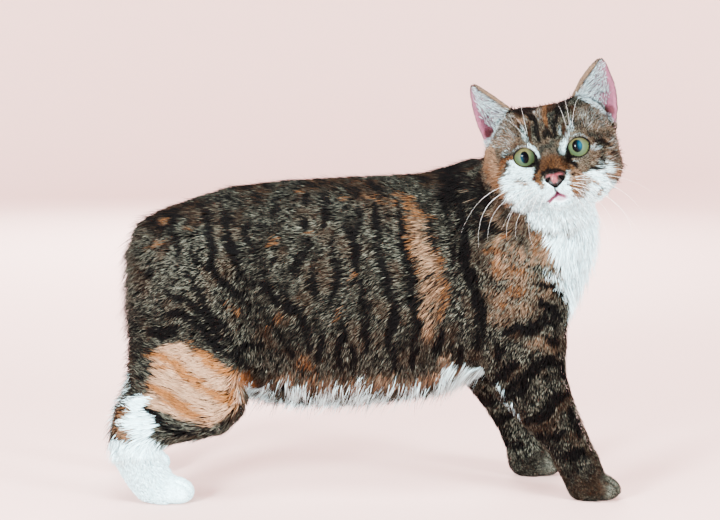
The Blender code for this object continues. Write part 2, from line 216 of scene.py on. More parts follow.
def head_axes():
    level = Vector((-math.sin(HEAD_YAW), -math.cos(HEAD_YAW), 0))
    forward = level * math.cos(HEAD_PITCH) + Vector((0, 0, math.sin(HEAD_PITCH)))
    left = -forward.cross(Vector((0, 0, 1))).normalized()
    up = forward.cross(left)
    tilted = left * math.cos(HEAD_ROLL) + up * math.sin(HEAD_ROLL)
    return np.array((tilted, forward.cross(tilted), forward))


def middle_of(node):
    low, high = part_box(node)
    return np.array((low + high) / 2) / MM


HEAD = head_axes()
EYE_LEFT = middle_of("eye_left")
EYE_RIGHT = middle_of("eye_right")
HEAD_AT = (EYE_LEFT + EYE_RIGHT) / 2 + EYE_BACK * HEAD[2]


def to_head(places):
    return (places - HEAD_AT) @ HEAD.T


def from_head(places):
    return HEAD_AT + np.asarray(places, float) @ HEAD


def remeshed(mesh, grain):
    rough = piece("rough", mesh)
    whole = changed(rough, ("REMESH", {"mode": "VOXEL", "voxel_size": grain * MM}))
    bpy.data.objects.remove(rough)
    outer_shell(whole)
    return whole


# How deep the coat lies over each part of the body.
COAT_DEPTH = {
    "trunk": 7.0, "neck": 7.5, "head": 2.3, "foreleg": 4.2, "hindleg": 5.5,
    "forefoot": 2.0, "hindfoot": 2.0, "ear": 0.8, "eye": 0.5, "nose": 0.7,
}
node_faces, node_points, face_node = [], [], []
for index, name in enumerate(node_names):
    faces = read_triangles(nodes[name].data)
    node_faces.append(faces + sum(map(len, node_points)))
    node_points.append(read_points(nodes[name].data))
    face_node += [index] * len(faces)
flesh_tree = surface_tree(np.concatenate(node_points), np.concatenate(node_faces))
face_node = np.array(face_node)


def nearest_node(places):
    """The number in node_names of the part that each place lies on."""
    return face_node[[flesh_tree.find_nearest(tuple(place))[2] for place in places]]


def kinds_of(part):
    """The names of the parts, without their side."""
    return np.array([name.split("_")[0] for name in node_names])[part]


def by_kind(table, part):
    return np.array([table[kind] for kind in kinds_of(part)], float)


def face_depth(h):
    """How deep the coat lies on the head: close round the eyes and muzzle, full on the cheeks."""
    a, b, c = h.T
    depth = 2.2 + 3.4 * ramp(abs(a), 26, 42) * ramp(-b, -8, 12)
    depth += 3.6 * ramp(-b, 38, 50)
    muzzle = ramp(-abs(a), -25, -17) * ramp(c, -6, 6) * ramp(b, -44, -38)
    depth += (1.0 - depth) * muzzle
    for side in (-1, 1):
        from_eye = np.linalg.norm(h - (EYE_APART * side, 0, -2), axis=1)
        depth += (0.5 - depth) * ramp(-from_eye, -17, -10)
    return depth


# The form: the body's smooth shape under the coat, still without its ears.
ears = [name for name in FLESH if name.startswith("ear")]
form_mesh = joined([swollen(nodes[name].data, SWELL) for name in node_names if name not in ears])
form_mesh = remeshed(form_mesh, FORM_GRAIN)
form_ends = read_edges(form_mesh)
form = evened(read_points(form_mesh), form_ends, 8)
form_head = to_head(form)
headward = ramp(form_head[:, 2], -62, -40) * ramp(form_head[:, 1], -62, -50)
headward *= ramp(-np.linalg.norm(form_head, axis=1), -95, -85)
smooth = evened(form, form_ends, 60)
form += (smooth - form) * (1 - headward)[:, None]
form_part = nearest_node(form)
depth = by_kind(COAT_DEPTH, form_part)
depth += (face_depth(form_head) - depth) * headward
belly = ramp(-form[:, 2], -120, -90) * (form_part == node_names.index("trunk"))
depth = spread(depth + 2.0 * belly, form_ends, 12)
write_points(form_mesh, form)
form_out = unit(spread(read_normals(form_mesh), form_ends, 6))
form -= form_out * depth[:, None]
write_points(form_mesh, form)

# The ears: thin cups, laid three times over, ever deeper, so that they close onto the head.
EAR_SUNK = 4.0
ear_meshes = []
for name in ears:
    cup = piece(name + "_cup", swollen(nodes[name].data, EAR_SWELL))
    for sink in (0, EAR_SUNK / 2, EAR_SUNK):
        mesh = changed(cup, ("SUBSURF", {"levels": 2, "render_levels": 2}))
        places = to_head(read_points(mesh))
        side = np.sign(places[:, 0].mean())
        places -= np.array((0.55 * side, 0.75, 0)) * sink
        write_points(mesh, from_head(places))
        ear_meshes.append(mesh)
    bpy.data.objects.remove(cup)
skin_mesh = remeshed(joined([form_mesh, *ear_meshes]), SKIN_GRAIN)

# Away from the head the hide is plain under its coat, so its faces grow larger there.
BODY_FACES = 52000
FEET = [name for name in FLESH if "foot" in name]
TOE_LENGTH = 17
TOE_PITCH = 7.6


def toe_view(places):
    """How far each place lies behind its foot's longest toe and across from the foot's middle."""
    behind, across = np.full(len(places), 99.0), np.zeros(len(places))
    for name in FEET:
        low, high = (np.array(corner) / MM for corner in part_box(name))
        aside = places[:, 1] - (low[1] + high[1]) / 2
        on = (abs(places[:, 0] - high[0] + 12) < 14) & (abs(aside) < 20) & (places[:, 2] < 24)
        behind[on] = high[0] - places[on, 0]
        across[on] = aside[on]
    return behind, across


def toe_groove(across, wide):
    """1 along the grooves between the toes, falling away over about that width beside them."""
    between = np.clip(np.round(across / TOE_PITCH), -1, 1)
    return hump((across - between * TOE_PITCH) / wide)


keep = piece("keep", skin_mesh)
rough_skin = read_points(skin_mesh)
far = np.linalg.norm(to_head(rough_skin) + (0, -10, 25), axis=1) > 88
far &= toe_view(rough_skin)[0] > TOE_LENGTH + 5
group = keep.vertex_groups.new(name="body")
group.add(np.flatnonzero(far).tolist(), 1, "REPLACE")
total = len(skin_mesh.polygons) * 2
body_share = far.mean()
ratio = (total * (1 - body_share) + BODY_FACES) / total
skin_mesh = changed(keep, ("DECIMATE", {"ratio": ratio, "vertex_group": "body"}))
bpy.data.objects.remove(keep)


def finer(mesh, where):
    """Cuts in four each face whose middle satisfies where, a test on places in the head's frame."""
    cut = bmesh.new()
    cut.from_mesh(mesh)
    middles = np.array([face.calc_center_median() for face in cut.faces]) / MM
    chosen = where(to_head(middles))
    edges = {edge for face, yes in zip(cut.faces, chosen) if yes for edge in face.edges}
    bmesh.ops.subdivide_edges(cut, edges=list(edges), cuts=1, use_grid_fill=True)
    bmesh.ops.triangulate(cut, faces=[face for face in cut.faces if len(face.verts) > 4])
    cut.to_mesh(mesh)
    cut.free()


EYE_RADIUS = 10.8
# Half the width and height of the gap between the lids, on the right and on the left.
EYE_OPENING = {-1: (7.5, 6.1), 1: (7.8, 6.45)}
EYE_DROP = {-1: -1.4, 1: -1.05}
EYE_CORNER = ((14.2, -3.9), (11.5, -7.8))    # the inner corner: from inside the gap out to its tip
# The nose's leather: points of one side of its outline, from its middle.
LEATHER_MIDDLE = np.array((0.1, -20.6))
LEATHER_SIDE = [(0, 3.7), (3.4, 4.1), (6.1, 3.7), (7.3, 2.1), (6.8, -0.1), (4.7, -2.6),
                (2.4, -4.5), (0, -5.7)]
MOUTH_TOP = -30.9


def leather_share(places):
    """How far each place lies on the way from the leather's middle, 0, to its outline, 1."""
    out, up = abs(places[:, 0] - LEATHER_MIDDLE[0]), places[:, 1] - LEATHER_MIDDLE[1]
    edge = np.array(LEATHER_SIDE[::-1])
    reach = np.interp(np.arctan2(up, out), np.arctan2(edge[:, 1], edge[:, 0]), np.hypot(*edge.T))
    return np.where(places[:, 2] > 4, np.hypot(out, up) / reach, 9)


def above_mouth(places):
    """Height above the line between the lips."""
    return places[:, 1] - MOUTH_TOP + 5.6 * (abs(places[:, 0]) / 8.7) ** 0.85


def eye_gap(places, side):
    """Distance outside the gap between the lids, seen along the gaze; less than 0 inside it."""
    wide, tall = EYE_OPENING[side]
    x = (places[:, 0] * side - EYE_APART) / wide
    y = (places[:, 1] - EYE_DROP[side] - 0.06 * (places[:, 0] * side - EYE_APART)) / tall
    size = np.sqrt(x * x + y * y) + 1e-9
    slope = np.sqrt((x / wide) ** 2 + (y / tall) ** 2) / size + 1e-9
    corner = np.array(EYE_CORNER[0]) - EYE_CORNER[1]
    from_tip = np.stack([places[:, 0] * side, places[:, 1]], 1) - EYE_CORNER[1]
    share = np.clip(from_tip @ corner / (corner @ corner), 0, 1)
    tapered = np.linalg.norm(from_tip - share[:, None] * corner, axis=1) - 0.2 - 2.6 * share
    return np.minimum((size - 1) / slope, tapered)


def face_front(places):
    a, b, c = places.T
    return (abs(a) < 33) & (b > -46) & (b < 14) & (c > -16)


def face_fine(places):
    a, b, c = places.T
    eyes = np.minimum(abs(eye_gap(places, -1)), abs(eye_gap(places, 1))) < 3.2
    mouth = (abs(a) < 13) & (b > -40) & (b < -13)
    return (eyes & (b < 12) & (c > -12)) | (mouth & (c > 0))


finer(skin_mesh, face_front)
finer(skin_mesh, face_fine)
ends = read_edges(skin_mesh)
hide = evened(read_points(skin_mesh), ends, 6)
write_points(skin_mesh, hide)


# Lids: the skin wraps the eyeball and ends in a thin rim round the gap, and dips behind the eye.
LID = 0.85
RIM = 0.45
h = to_head(hide)
for side in (-1, 1):
    from_eye = h - np.array((EYE_APART * side, 0, -EYE_BACK))
    size = np.linalg.norm(from_eye, axis=1)
    near = (from_eye[:, 2] > 0) & (size < 20)
    gap = eye_gap(h, side)
    lid = EYE_RADIUS + RIM + (LID - RIM) * ramp(gap, 0, 2.5)
    lid -= 0.55 * hump((gap - 3.4) / 0.7) * ramp(from_eye[:, 1], 1, 5)
    outside = np.where(size < lid, lid, lid + (size - lid) * ramp(gap, 0.4, 5))
    inside = np.minimum(size, EYE_RADIUS - 1.3)
    target = np.where(gap > -0.35, outside, inside)
    h[near] += (from_eye * (target / size - 1)[:, None])[near]

# Nose bed, philtrum, lips, chin and the pads that carry the whiskers.
a, b, c = h.T
front = ramp(c, 0, 6)
c -= 2.4 * (1 - ramp(leather_share(h), 0.8, 1.2))
for side in (-1, 1):
    pad = hump((a * side - 8.2) / 5.5, (b + 27) / 5) * front
    c += 1.5 * pad
    a += 0.6 * pad * side
    b -= 0.5 * pad
split = hump(a / 0.9) * ramp(b, -32, -30.5) * ramp(-b, 23, 25) * front
c -= 1.3 * split
mouth = hump(above_mouth(h) / 0.8) * ramp(-abs(a), -12, -9) * front
c -= 2.2 * mouth
c += 1.3 * hump(a / 6, (b + 38.5) / 3.2) * ramp(c, -4, 2)
hide = from_head(h)
# The toes: rounded, with a groove between each two.
behind, across = toe_view(hide)
out = read_normals(skin_mesh)
toes = ramp(-behind, -TOE_LENGTH, -TOE_LENGTH + 8) * ramp(out[:, 2], -0.6, -0.2)
hide += out * (toes * (0.8 - 4.2 * toe_groove(across, 1.5)))[:, None]
write_points(skin_mesh, hide)
skin = piece("skin", skin_mesh)
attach(skin, "root")
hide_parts(*FLESH)

# ==== The markings: a brown mackerel tabby patched with orange, cream and white ====
# Each mark is a band along a few points: on the body in side elevation, as distance forward and
# height, and on the face in front elevation. The left side has a looser mirror of the pattern.

VIEW_AT = Vector((-1.56, 16.52, 176.5))     # where the side elevation is centred
VIEW_HEIGHT = 179                           # the height that it gives to that place
VIEW_AWAY = 1700                            # it is drawn from this far away, from a little above
VIEW_RISE = math.radians(7.5)
SPINE_Y = 16.5


def drift(places, size, seed):
    """Smooth noise from -1 to 1 that changes over a distance of about size."""
    waves = np.random.default_rng(seed)
    total = 0
    for octave in (1, 0.55, 0.3):
        direction = unit(waves.normal(size=(4, 3))) * 2 * math.pi / size / octave
        ripple = np.sin(places @ direction.T + waves.uniform(0, 6.3, 4))
        total = total + 0.45 * octave * ripple.sum(1)
    return np.clip(total, -1, 1)


def drifts(places, size, *seeds):
    return np.stack([drift(places, size, seed) for seed in seeds], 1)


def side_view(places):
    """Distance forward and height of each place in the side elevation."""
    x, y, z = (places - VIEW_AT).T
    away = VIEW_AWAY + y * math.cos(VIEW_RISE) - z * math.sin(VIEW_RISE)
    up = y * math.sin(VIEW_RISE) + z * math.cos(VIEW_RISE)
    return np.stack([x, up], 1) * (VIEW_AWAY / away)[:, None] + (0, VIEW_HEIGHT)


def band(view, wide, *points, soft=1.6):
    """1 along a line of points, 0 beyond half its width: narrower towards its ends."""
    points = np.array(points, float)
    mask = np.zeros(len(view))
    reach = wide + soft + 1
    low, high = points.min(0) - reach, points.max(0) + reach
    near = np.flatnonzero(((view > low) & (view < high)).all(1))
    if len(points) == 1:
        points = np.repeat(points, 2, 0) + ((-0.01, 0), (0.01, 0))
    here = view[near]
    best = np.full(len(near), -9.0)
    steps = len(points) - 1
    for step in range(steps):
        start, run = points[step], points[step + 1] - points[step]
        share = np.clip(((here - start) @ run) / (run @ run), 0, 1)
        gap = np.linalg.norm(here - start - share[:, None] * run, axis=1)
        along = (step + share) / steps
        half = wide * (0.75 + 0.45 * np.sin(math.pi * np.clip(along, 0.02, 0.98)))
        best = np.maximum(best, half - gap)
    mask[near] = ramp(best, -soft / 2, soft / 2)
    return mask


def bands(view, marks, soft=1.6):
    total = np.zeros(len(view))
    for wide, *points in marks:
        total = np.maximum(total, band(view, wide, *points, soft=soft))
    return total


def widened(marks, times=1.0, more=0.0):
    return [(wide * times + more, *line) for wide, *line in marks]


# Black mackerel stripes of the trunk and thigh: half width, then the points.
BODY_STRIPES = [
    (2.6, (-143, 214), (-146, 200), (-140, 190), (-140, 180)),
    (2.2, (-131, 189), (-127, 178), (-121, 175)),
    (3.4, (-120, 216), (-117, 200), (-114, 185), (-115, 172), (-108, 163), (-98, 155), (-86, 143)),
    (3.4, (-109, 226), (-104, 212), (-103, 196), (-99, 186), (-96, 176), (-91, 167), (-82, 157)),
    (3.2, (-88, 207), (-90, 196), (-81, 184), (-76, 170), (-72, 156), (-65, 147), (-56, 139)),
    (2.6, (-134, 169), (-128, 160), (-123, 152), (-119, 142), (-110, 132), (-101, 124)),
    (2.6, (-152, 156), (-141, 149), (-133, 147), (-126, 140), (-117, 132), (-109, 122), (-98, 113)),
    (3.2, (-150, 137), (-139, 138), (-131, 133), (-123, 127), (-114, 116), (-104, 107), (-90, 100)),
    (4.2, (-163, 124), (-150, 122), (-141, 127)), (3.8, (-163, 167), (-160, 169)),
    (2.8, (-76, 112), (-88, 112), (-98, 104), (-86, 96)), (2.8, (-67, 225), (-65, 217), (-70, 212)),
    (2.4, (-78, 208), (-76, 201)), (2.6, (-44, 229), (-43, 221)), (3.0, (-44, 211), (-43, 203)),
    (3.2, (-42, 195), (-42, 185), (-47, 180), (-53, 171), (-51, 165)),
    (3.3, (-38, 169), (-38, 158), (-36, 149)), (2.2, (-66, 180), (-69, 175)),
    (3.0, (-62, 158), (-56, 146), (-49, 138), (-44, 132), (-42, 120), (-40, 108)),
    (3.6, (-3, 217), (-2, 207), (-8, 197), (-5, 188), (-5, 174)),
    (2.4, (-15, 206), (-11, 200), (-8, 196)),
    (2.6, (-23, 194), (-20, 176), (-19, 160), (-23, 148), (-20, 136)),
    (2.8, (-14, 131), (-12, 119), (-18, 110), (-15, 94)),
    (3.2, (-4, 171), (-1, 158), (1, 148), (4, 136), (2, 122), (5, 108)),
    (3.0, (-28, 228), (-27, 214), (-29, 205)),
    (3.2, (10, 222), (11, 205), (13, 190), (14, 178), (19, 166), (21, 154), (26, 142), (25, 131),
     (21, 120), (23, 107), (26, 94)),
    (2.9, (27, 222), (31, 205), (29, 194), (32, 184), (38, 172), (37, 160), (38, 147), (43, 130),
     (42, 116), (40, 104), (38, 94)),
    (2.4, (50, 214), (53, 196), (57, 184)),
    (2.0, (61, 232), (65, 216), (68, 200), (70, 186), (70, 174)),
    (3.4, (69, 244), (70, 229), (75, 215), (78, 203), (80, 190), (78, 178), (82, 166), (84, 156)),
    (3.8, (85, 170), (86, 158), (89, 148), (91, 138), (91, 124), (88, 110)),
    (3.0, (78, 110), (74, 100), (78, 96)), (2.6, (90, 236), (91, 220), (94, 206), (93, 194)),
    (3.0, (99, 224), (100, 213), (102, 206)), (2.2, (62, 124), (60, 112), (56, 102)),
    (1.9, (-7, 112), (-4, 100), (-6, 92)), (2.2, (-30, 124), (-31, 112), (-33, 100)),
]
# Painted shade in the fold between flank and thigh.
FOLD_SHADE = [(2.6, (-74, 134), (-65, 126), (-58, 116), (-52, 105))]
# Bars across the shoulder and the fore leg.
LEG_BARS = [
    (3.6, (138, 146), (145, 141), (152, 133)), (2.6, (137, 160), (148, 156), (156, 151)),
    (3.6, (109, 122), (120, 126), (130, 124), (141, 131), (153, 132)),
    (2.4, (101, 116), (108, 108), (103, 100)),
    (3.8, (111, 76), (119, 84), (129, 90), (136, 98), (145, 101), (154, 97)),
    (3.4, (100, 83), (109, 91), (119, 99)), (2.8, (111, 71), (120, 75), (127, 82)),
    (3.0, (154, 93), (159, 86)), (4.4, (129, 55), (138, 58), (145, 66), (152, 73), (158, 76)),
    (3.2, (161, 62), (166, 53), (168, 44)), (3.0, (136, 42), (147, 41), (156, 47)),
    (3.0, (150, 28), (160, 27), (170, 32)), (2.4, (143, 118), (150, 113)),
]
# Where the white of the chest, belly and legs begins, and what is left of the tabby inside it.
CHEST_WHITE = [
    (30, (150, 240), (170, 215), (182, 185), (190, 160)),
    (13, (143, 214), (158, 206), (168, 190), (176, 172), (178, 150)),
    (8, (176, 160), (166, 145), (161, 130), (158, 112)),
]
BELLY_WHITE = [
    (3.2, (90, 82), (66, 80), (45, 76), (20, 73), (-10, 72), (-45, 74), (-62, 79), (-75, 72)),
    (4.0, (66, 94), (64, 88)), (3.5, (83, 92), (80, 86)),
]
SHANK_WHITE = [
    (14, (-172, 52), (-178, 35), (-165, 20), (-160, 0), (-150, -4), (-130, -4)),
    (11, (-174, 70), (-176, 58), (-172, 45)), (9, (-160, 24), (-154, 12), (-142, 0)),
]
THIGH_CREAM = [
    (13, (-153, 96), (-140, 99), (-128, 92), (-114, 84), (-100, 78), (-93, 76)),
    (11, (-157, 80), (-145, 78), (-130, 72), (-115, 66), (-102, 66)),
    (7, (-163, 74), (-148, 65), (-132, 58), (-118, 56)), (5, (-138, 111), (-150, 107), (-158, 104)),
    (5, (-92, 72), (-84, 76)),
]
THIGH_ORANGE = [
    (2.6, (-134, 117), (-125, 109), (-117, 101), (-108, 94), (-98, 89), (-88, 85), (-82, 80)),
    (2.8, (-161, 108), (-150, 105), (-141, 99), (-135, 91), (-128, 86), (-120, 80), (-111, 75),
     (-99, 74)),
    (2.0, (-157, 99), (-149, 97)),
    (3.4, (-161, 84), (-153, 79), (-147, 75), (-140, 70), (-134, 64), (-127, 59), (-122, 55)),
    (2.6, (-109, 71), (-102, 69), (-98, 63)), (2.0, (-92, 83), (-86, 77)),
]
THIGH_BLACK = [
    (3.4, (-166, 65), (-160, 61), (-154, 55), (-147, 50), (-139, 47), (-132, 45)),
    (1.8, (-126, 57), (-121, 54)), (1.3, (-107, 55), (-105, 52)),
]
THIGH_TICKED = [
    (4.5, (-158, 62), (-145, 55), (-132, 50), (-121, 49)),
    (4.0, (-156, 44), (-146, 41), (-138, 42)),
]
SHANK_TAN = [(3.6, (-188, 56), (-184, 62), (-181, 66)), (6.0, (-186, 47), (-182, 42))]
ORANGE_SPOTS = [
    (3.0, (-157, 203), (-148, 210)), (3.4, (-131, 208), (-131, 202)),
    (3.4, (-163, 186), (-154, 192)), (2.6, (-103, 143), (-92, 136)), (2.0, (-46, 201), (-37, 197)),
    (2.0, (-50, 231), (-43, 235)), (2.4, (-15, 227), (-12, 226)),
    (3.0, (4, 228), (14, 225), (26, 222)), (3.0, (-21, 141), (-17, 132)),
    (3.2, (-8, 170), (-5, 160)), (6.0, (-45, 100), (-40, 92), (-37, 88)), (3.6, (-1, 88), (4, 84)),
    (2.0, (-65, 196), (-70, 190)), (2.4, (58, 232), (56, 240)), (2.6, (-72, 124), (-60, 136)),
]
SADDLE_RUST = [
    (4.0, (26, 231), (34, 226), (40, 216), (46, 212)),
    (3.2, (36, 214), (35, 200), (34, 187), (38, 178), (44, 168)),
    (3.2, (50, 212), (53, 196), (57, 184), (60, 172), (62, 160), (63, 147), (61, 133)),
    (2.2, (40, 142), (43, 132)), (2.0, (52, 120), (56, 114)),
]
SADDLE_BUFF = [
    (6.5, (43, 205), (42, 194), (47, 184), (49, 176)),
    (7.5, (50, 174), (54, 162), (53, 150), (52, 138), (50, 128)), (3.5, (50, 128), (52, 118)),
]
SHOULDER_BUFF = [
    (5, (112, 208), (120, 204)), (8, (108, 192), (110, 178), (112, 166)),
    (12, (118, 180), (132, 186), (146, 178), (155, 168)),
    (8, (104, 170), (120, 162), (136, 156), (150, 162)), (7, (98, 150), (112, 144), (126, 140)),
    (5, (98, 134), (110, 132)), (3, (128, 112), (142, 116), (148, 106)),
]
SHOULDER_ORANGE = [
    (3.2, (106, 203), (109, 195)), (3.6, (97, 186), (108, 184)), (2.4, (102, 174), (105, 164)),
    (3.2, (112, 169), (126, 168)), (3.2, (113, 154), (123, 152)),
    (2.8, (121, 201), (133, 197), (146, 192), (160, 185)), (2.2, (130, 188), (136, 182)),
    (2.0, (104, 146), (110, 141)), (2.0, (150, 158), (157, 152)), (2.0, (170, 58), (175, 52)),
]
SHOULDER_TICKED = [
    (4.0, (121, 198), (126, 186)), (4.4, (133, 172), (142, 166)), (3.0, (128, 205), (150, 199)),
]
FAR_FORE_BARS = [
    (3.4, (86, 70), (96, 71), (104, 70)), (3.4, (98, 55), (108, 57), (116, 60)),
    (3.2, (112, 38), (124, 36)),
]
FAR_FORE_WHITE = [(1.6, (86, 73), (91, 65), (98, 53))]
FORE_WHITE = [(1.3, (103, 82), (110, 71), (117, 63), (123, 56))]

# Marks of the face: half width, then points to the left of the middle and above the eyes.
FACE_TAN = [
    (4.6, (-46, 9), (-47, -2), (-48, -12)), (3.4, (-44, -12), (-45, -20)),
    (1.4, (-20, 28), (-17, 26)), (1.6, (-43, -26), (-41, -28)), (2.0, (-40, -33), (-36, -35)),
    (1.6, (26, -27), (30, -30)), (1.9, (38, -24), (42, -29)), (2.0, (46, -22), (47, -28)),
    (1.6, (-30, -17), (-22, -21)), (2.0, (29, -38), (33, -36)), (1.3, (-44, -26), (-38, -24)),
    (6.5, (14, -21), (18, -27), (15, -34)), (2.0, (-12.5, -22), (-11, -25)),
]
FACE_BLACK = [
    (1.8, (-7.5, 24), (-8, 16), (-7, 10)), (1.8, (-0.2, 17), (-3.4, 11)), (1.8, (0, 16), (2.6, 10)),
    (1.3, (5.2, 21), (5.6, 15), (5.4, 9.5)), (4.2, (12, 30), (11, 27)), (4.0, (10, 36), (20, 37)),
    (4.6, (-22, 37), (-12, 36), (-4, 38)), (2.2, (-12, 30), (-8, 25)), (1.6, (8, 24), (6, 20)),
    (1.3, (33, 1.3), (37, 1.5), (40, 0), (43, -4), (45.5, -9)), (1.3, (45, -8), (47, -13)),
    (1.1, (27, -16), (32, -19.2), (38, -20.6)),
    (1.6, (10.5, -6), (12.5, -8.6), (15, -12), (17, -15)),
    (1.3, (-10.5, -7), (-12.4, -10.4), (-14.6, -13)), (1.3, (13.4, -18.6), (13.8, -21)),
    (1.2, (17, -20.5), (18, -21)), (1.2, (-16, -17), (-15.4, -18)),
    (1.5, (-9.5, -14.5), (-5, -13.5), (0, -14.2), (4, -15.4), (8, -17.5)),
    (3.4, (-9, 52), (-7, 40)), (3.4, (9, 52), (8, 42)), (8, (-65, 4), (-64, -14), (-59, -29)),
    (0.6, (-1.8, -25.5), (-1.6, -30)),
]
# The dark saddle of the nose.
FACE_BRIDGE = [(4.0, (-6, -5.5), (5, -7.5)), (5.2, (-8, -10.5), (7, -13))]
FACE_BROWN = [
    (1.8, (10, -8), (12, -11)), (5.0, (-18, 33), (-4, 33), (12, 34)),
    (1.5, (-13.4, 21), (-13.8, 13), (-13.4, 7.5)), (1.4, (12, 18), (12.3, 13), (12.6, 8.5)),
    (2.2, (-14, 27), (-13, 23)), (2.6, (-5, 30), (-4, 25)), (2.4, (20, 29), (24, 26)),
    (2.5, (-22, 28), (-19, 24)),
]
FACE_ORANGE = [
    (1.5, (4.5, 39), (1, 33), (0, 27), (0.2, 19)), (2.0, (8, 38), (4, 36)),
    (2.4, (-12.5, -13), (-15, -17), (-13.5, -21)),
    (1.5, (-28, 0.5), (-33.5, 0.5), (-37.3, -1.6), (-40, -5), (-42.4, -9.5)),
    (2.2, (-42.4, -9.5), (-45, -16), (-45, -20)), (1.6, (-49, 10), (-50, 0), (-50, -12)),
    (1.0, (11, -24), (18, -25)), (1.1, (8.5, -27), (13, -28.4), (18, -30)),
    (1.0, (10, -31.5), (15, -33.6)), (1.2, (12, -13), (14, -16)),
]
FACE_PALE = [
    (2.2, (19, 21), (17, 14), (13, 8)), (2.0, (-18, 22), (-18, 15), (-14, 8)),
    (1.4, (9, 18), (9, 12)), (0.9, (29, 5), (22, 9), (14, 8)),
    (0.9, (-29, 5), (-21, 8.5), (-13, 7)), (2.2, (-30, 8), (-36, 4)), (2.4, (30, -2), (36, -4)),
    (3.6, (36, -13), (42, -16)), (0.8, (20, -11), (13, -10)),
]
FACE_WHITE = [
    (1.5, (11.5, 5.5), (9, 1.5), (8.8, -2)), (0.8, (-15, 8.2), (-11.5, 4), (-9.8, -2)),
    (0.8, (40, -17.5), (44, -18)), (2.4, (-31, -3), (-22, -11.5), (-16, -12)),
    (9, (-30, -12), (-24, -22), (-14, -30)), (9, (-36, -18), (-30, -30), (-18, -38)),
    (9, (-2, -24), (-2, -45)), (8, (18, -26), (26, -24), (36, -25)),
    (10, (12, -40), (26, -34), (36, -34)), (12, (-18, -48), (0, -50), (20, -46)),
    (4, (22, -20), (32, -24), (42, -22)), (3.4, (10, -19), (11, -22)), (3.4, (-8, -22), (-7, -27)),
    (9, (8, -30), (10, -36)),
]
# Where the ticking of the face is palest.
FACE_LIGHT = [
    (8, (-42, 26), (-27, 28)), (7, (-40, 13), (-27, 17)), (8, (27, 23), (43, 14)),
    (5, (49, 3), (49, -4)), (5, (46, -7), (45, -14)), (5, (42, -17), (46, -19)),
    (5, (-11, 28), (-4, 30)), (5, (-48, 0), (-44, 14)),
]
FACE_TICKED = [
    (5.5, (23, -13), (33, -11)), (4.5, (18, -15), (26, -16)), (3.6, (44, -2), (47, -12)),
    (4, (34, -8), (38, -9)),
]
LID_BLACK = 1.0                 # how far the black of the lids reaches out from the gap


def tuft_share(mask, chance, soft):
    """Gives each hair most of a mark or little of it, so that hairs mingle at a mark's edge."""
    return ramp(mask + 0.42 * chance * ramp(mask, 0, 0.25), 0.5 - soft, 0.5 + soft)


def mouth_red(h):
    """The crimson of the parted lips: deepest in the middle, and it fades to the left."""
    middle = hump((h[:, 0] + 0.3) / 2.3)
    fade = np.where(h[:, 0] < 0, ramp(h[:, 0], -11.5, -8), ramp(-h[:, 0], -6.5, -1))
    line = ramp(0.9 + 1.0 * middle - abs(above_mouth(h) + 0.5), -0.5, 0.6)
    return line * fade * (0.45 + 0.55 * middle) * ramp(h[:, 2], 2, 6)


def lips(h):
    """The bare edge of the lips, and the pink lower lip below their middle."""
    a, above = h[:, 0], above_mouth(h)
    line = ramp(-abs(above + 0.3), -2.4, -1.0) * ramp(a, -11.5, -9.5) * ramp(-a, -9, -4)
    lower = 0.85 * ramp(-np.hypot((a - 1.6) / 6.4, (h[:, 1] + 34.6) / 3.4), -1.25, -0.45)
    upper = 0.4 * hump((a - 4) / 3.4, (above - 1.6) / 1.6)
    return most(line, lower, upper) * ramp(h[:, 2], 2, 6)


# Where the inner edge, the outer edge and the tip of each ear lie, and how far the two edges bow.
EAR_OUTLINE = {
    -1: ((20, 30), (47, 10), (51, 60.4), 1.2, 3.5),
    1: ((15.8, 30), (47, 10), (45.6, 61.4), 4.0, 5.4),
}
# How high the brow's tabby hair reaches up the front of the ear, from its inner edge to its outer.
BROW_OVER = (-1.1, -0.56, 0.12, 0.49, 0.73, 1.0)
BROW_UP = (0.3, 0.23, 0.14, 0.03, -0.04, -0.08)


def ear_view(h):
    """Where each place lies on its ear: from base to tip, and from the inner edge to the outer."""
    rise, over = np.zeros(len(h)), np.zeros(len(h))
    for side, (inner, outer, tip, bow_in, bow_out) in EAR_OUTLINE.items():
        here = h[:, 0] * side > 0
        place = np.stack([abs(h[here, 0]), h[here, 1]], 1)
        inner, outer, tip = np.array(inner), np.array(outer), np.array(tip)
        axis = tip - (inner + outer) / 2
        up = (place - (inner + outer) / 2) @ axis / (axis @ axis)
        bow = np.sin(math.pi * np.clip(up, 0, 1))[:, None]
        near = np.clip(up, -0.2, 0.97)[:, None]
        one = inner + (tip - inner) * near + bow * bow_in * np.array((-0.55, 0.83))
        other = outer + (tip - outer) * near + bow * bow_out * np.array((0.93, 0.1))
        half = (other - one) / 2
        rise[here] = up
        over[here] = ((place - (one + other) / 2) * half).sum(1) / (half * half).sum(1)
    return rise, over


def above_brow(up_ear, over_ear):
    """How far above the brow's tabby hair a place on the front of the ear lies."""
    return up_ear - np.interp(over_ear, BROW_OVER, BROW_UP)


def ear_pocket(up_ear, over_ear):
    """The bare red fold low on the ear's outer edge."""
    return hump((up_ear - 0.18) / 0.08, (over_ear - 0.68) / 0.2)


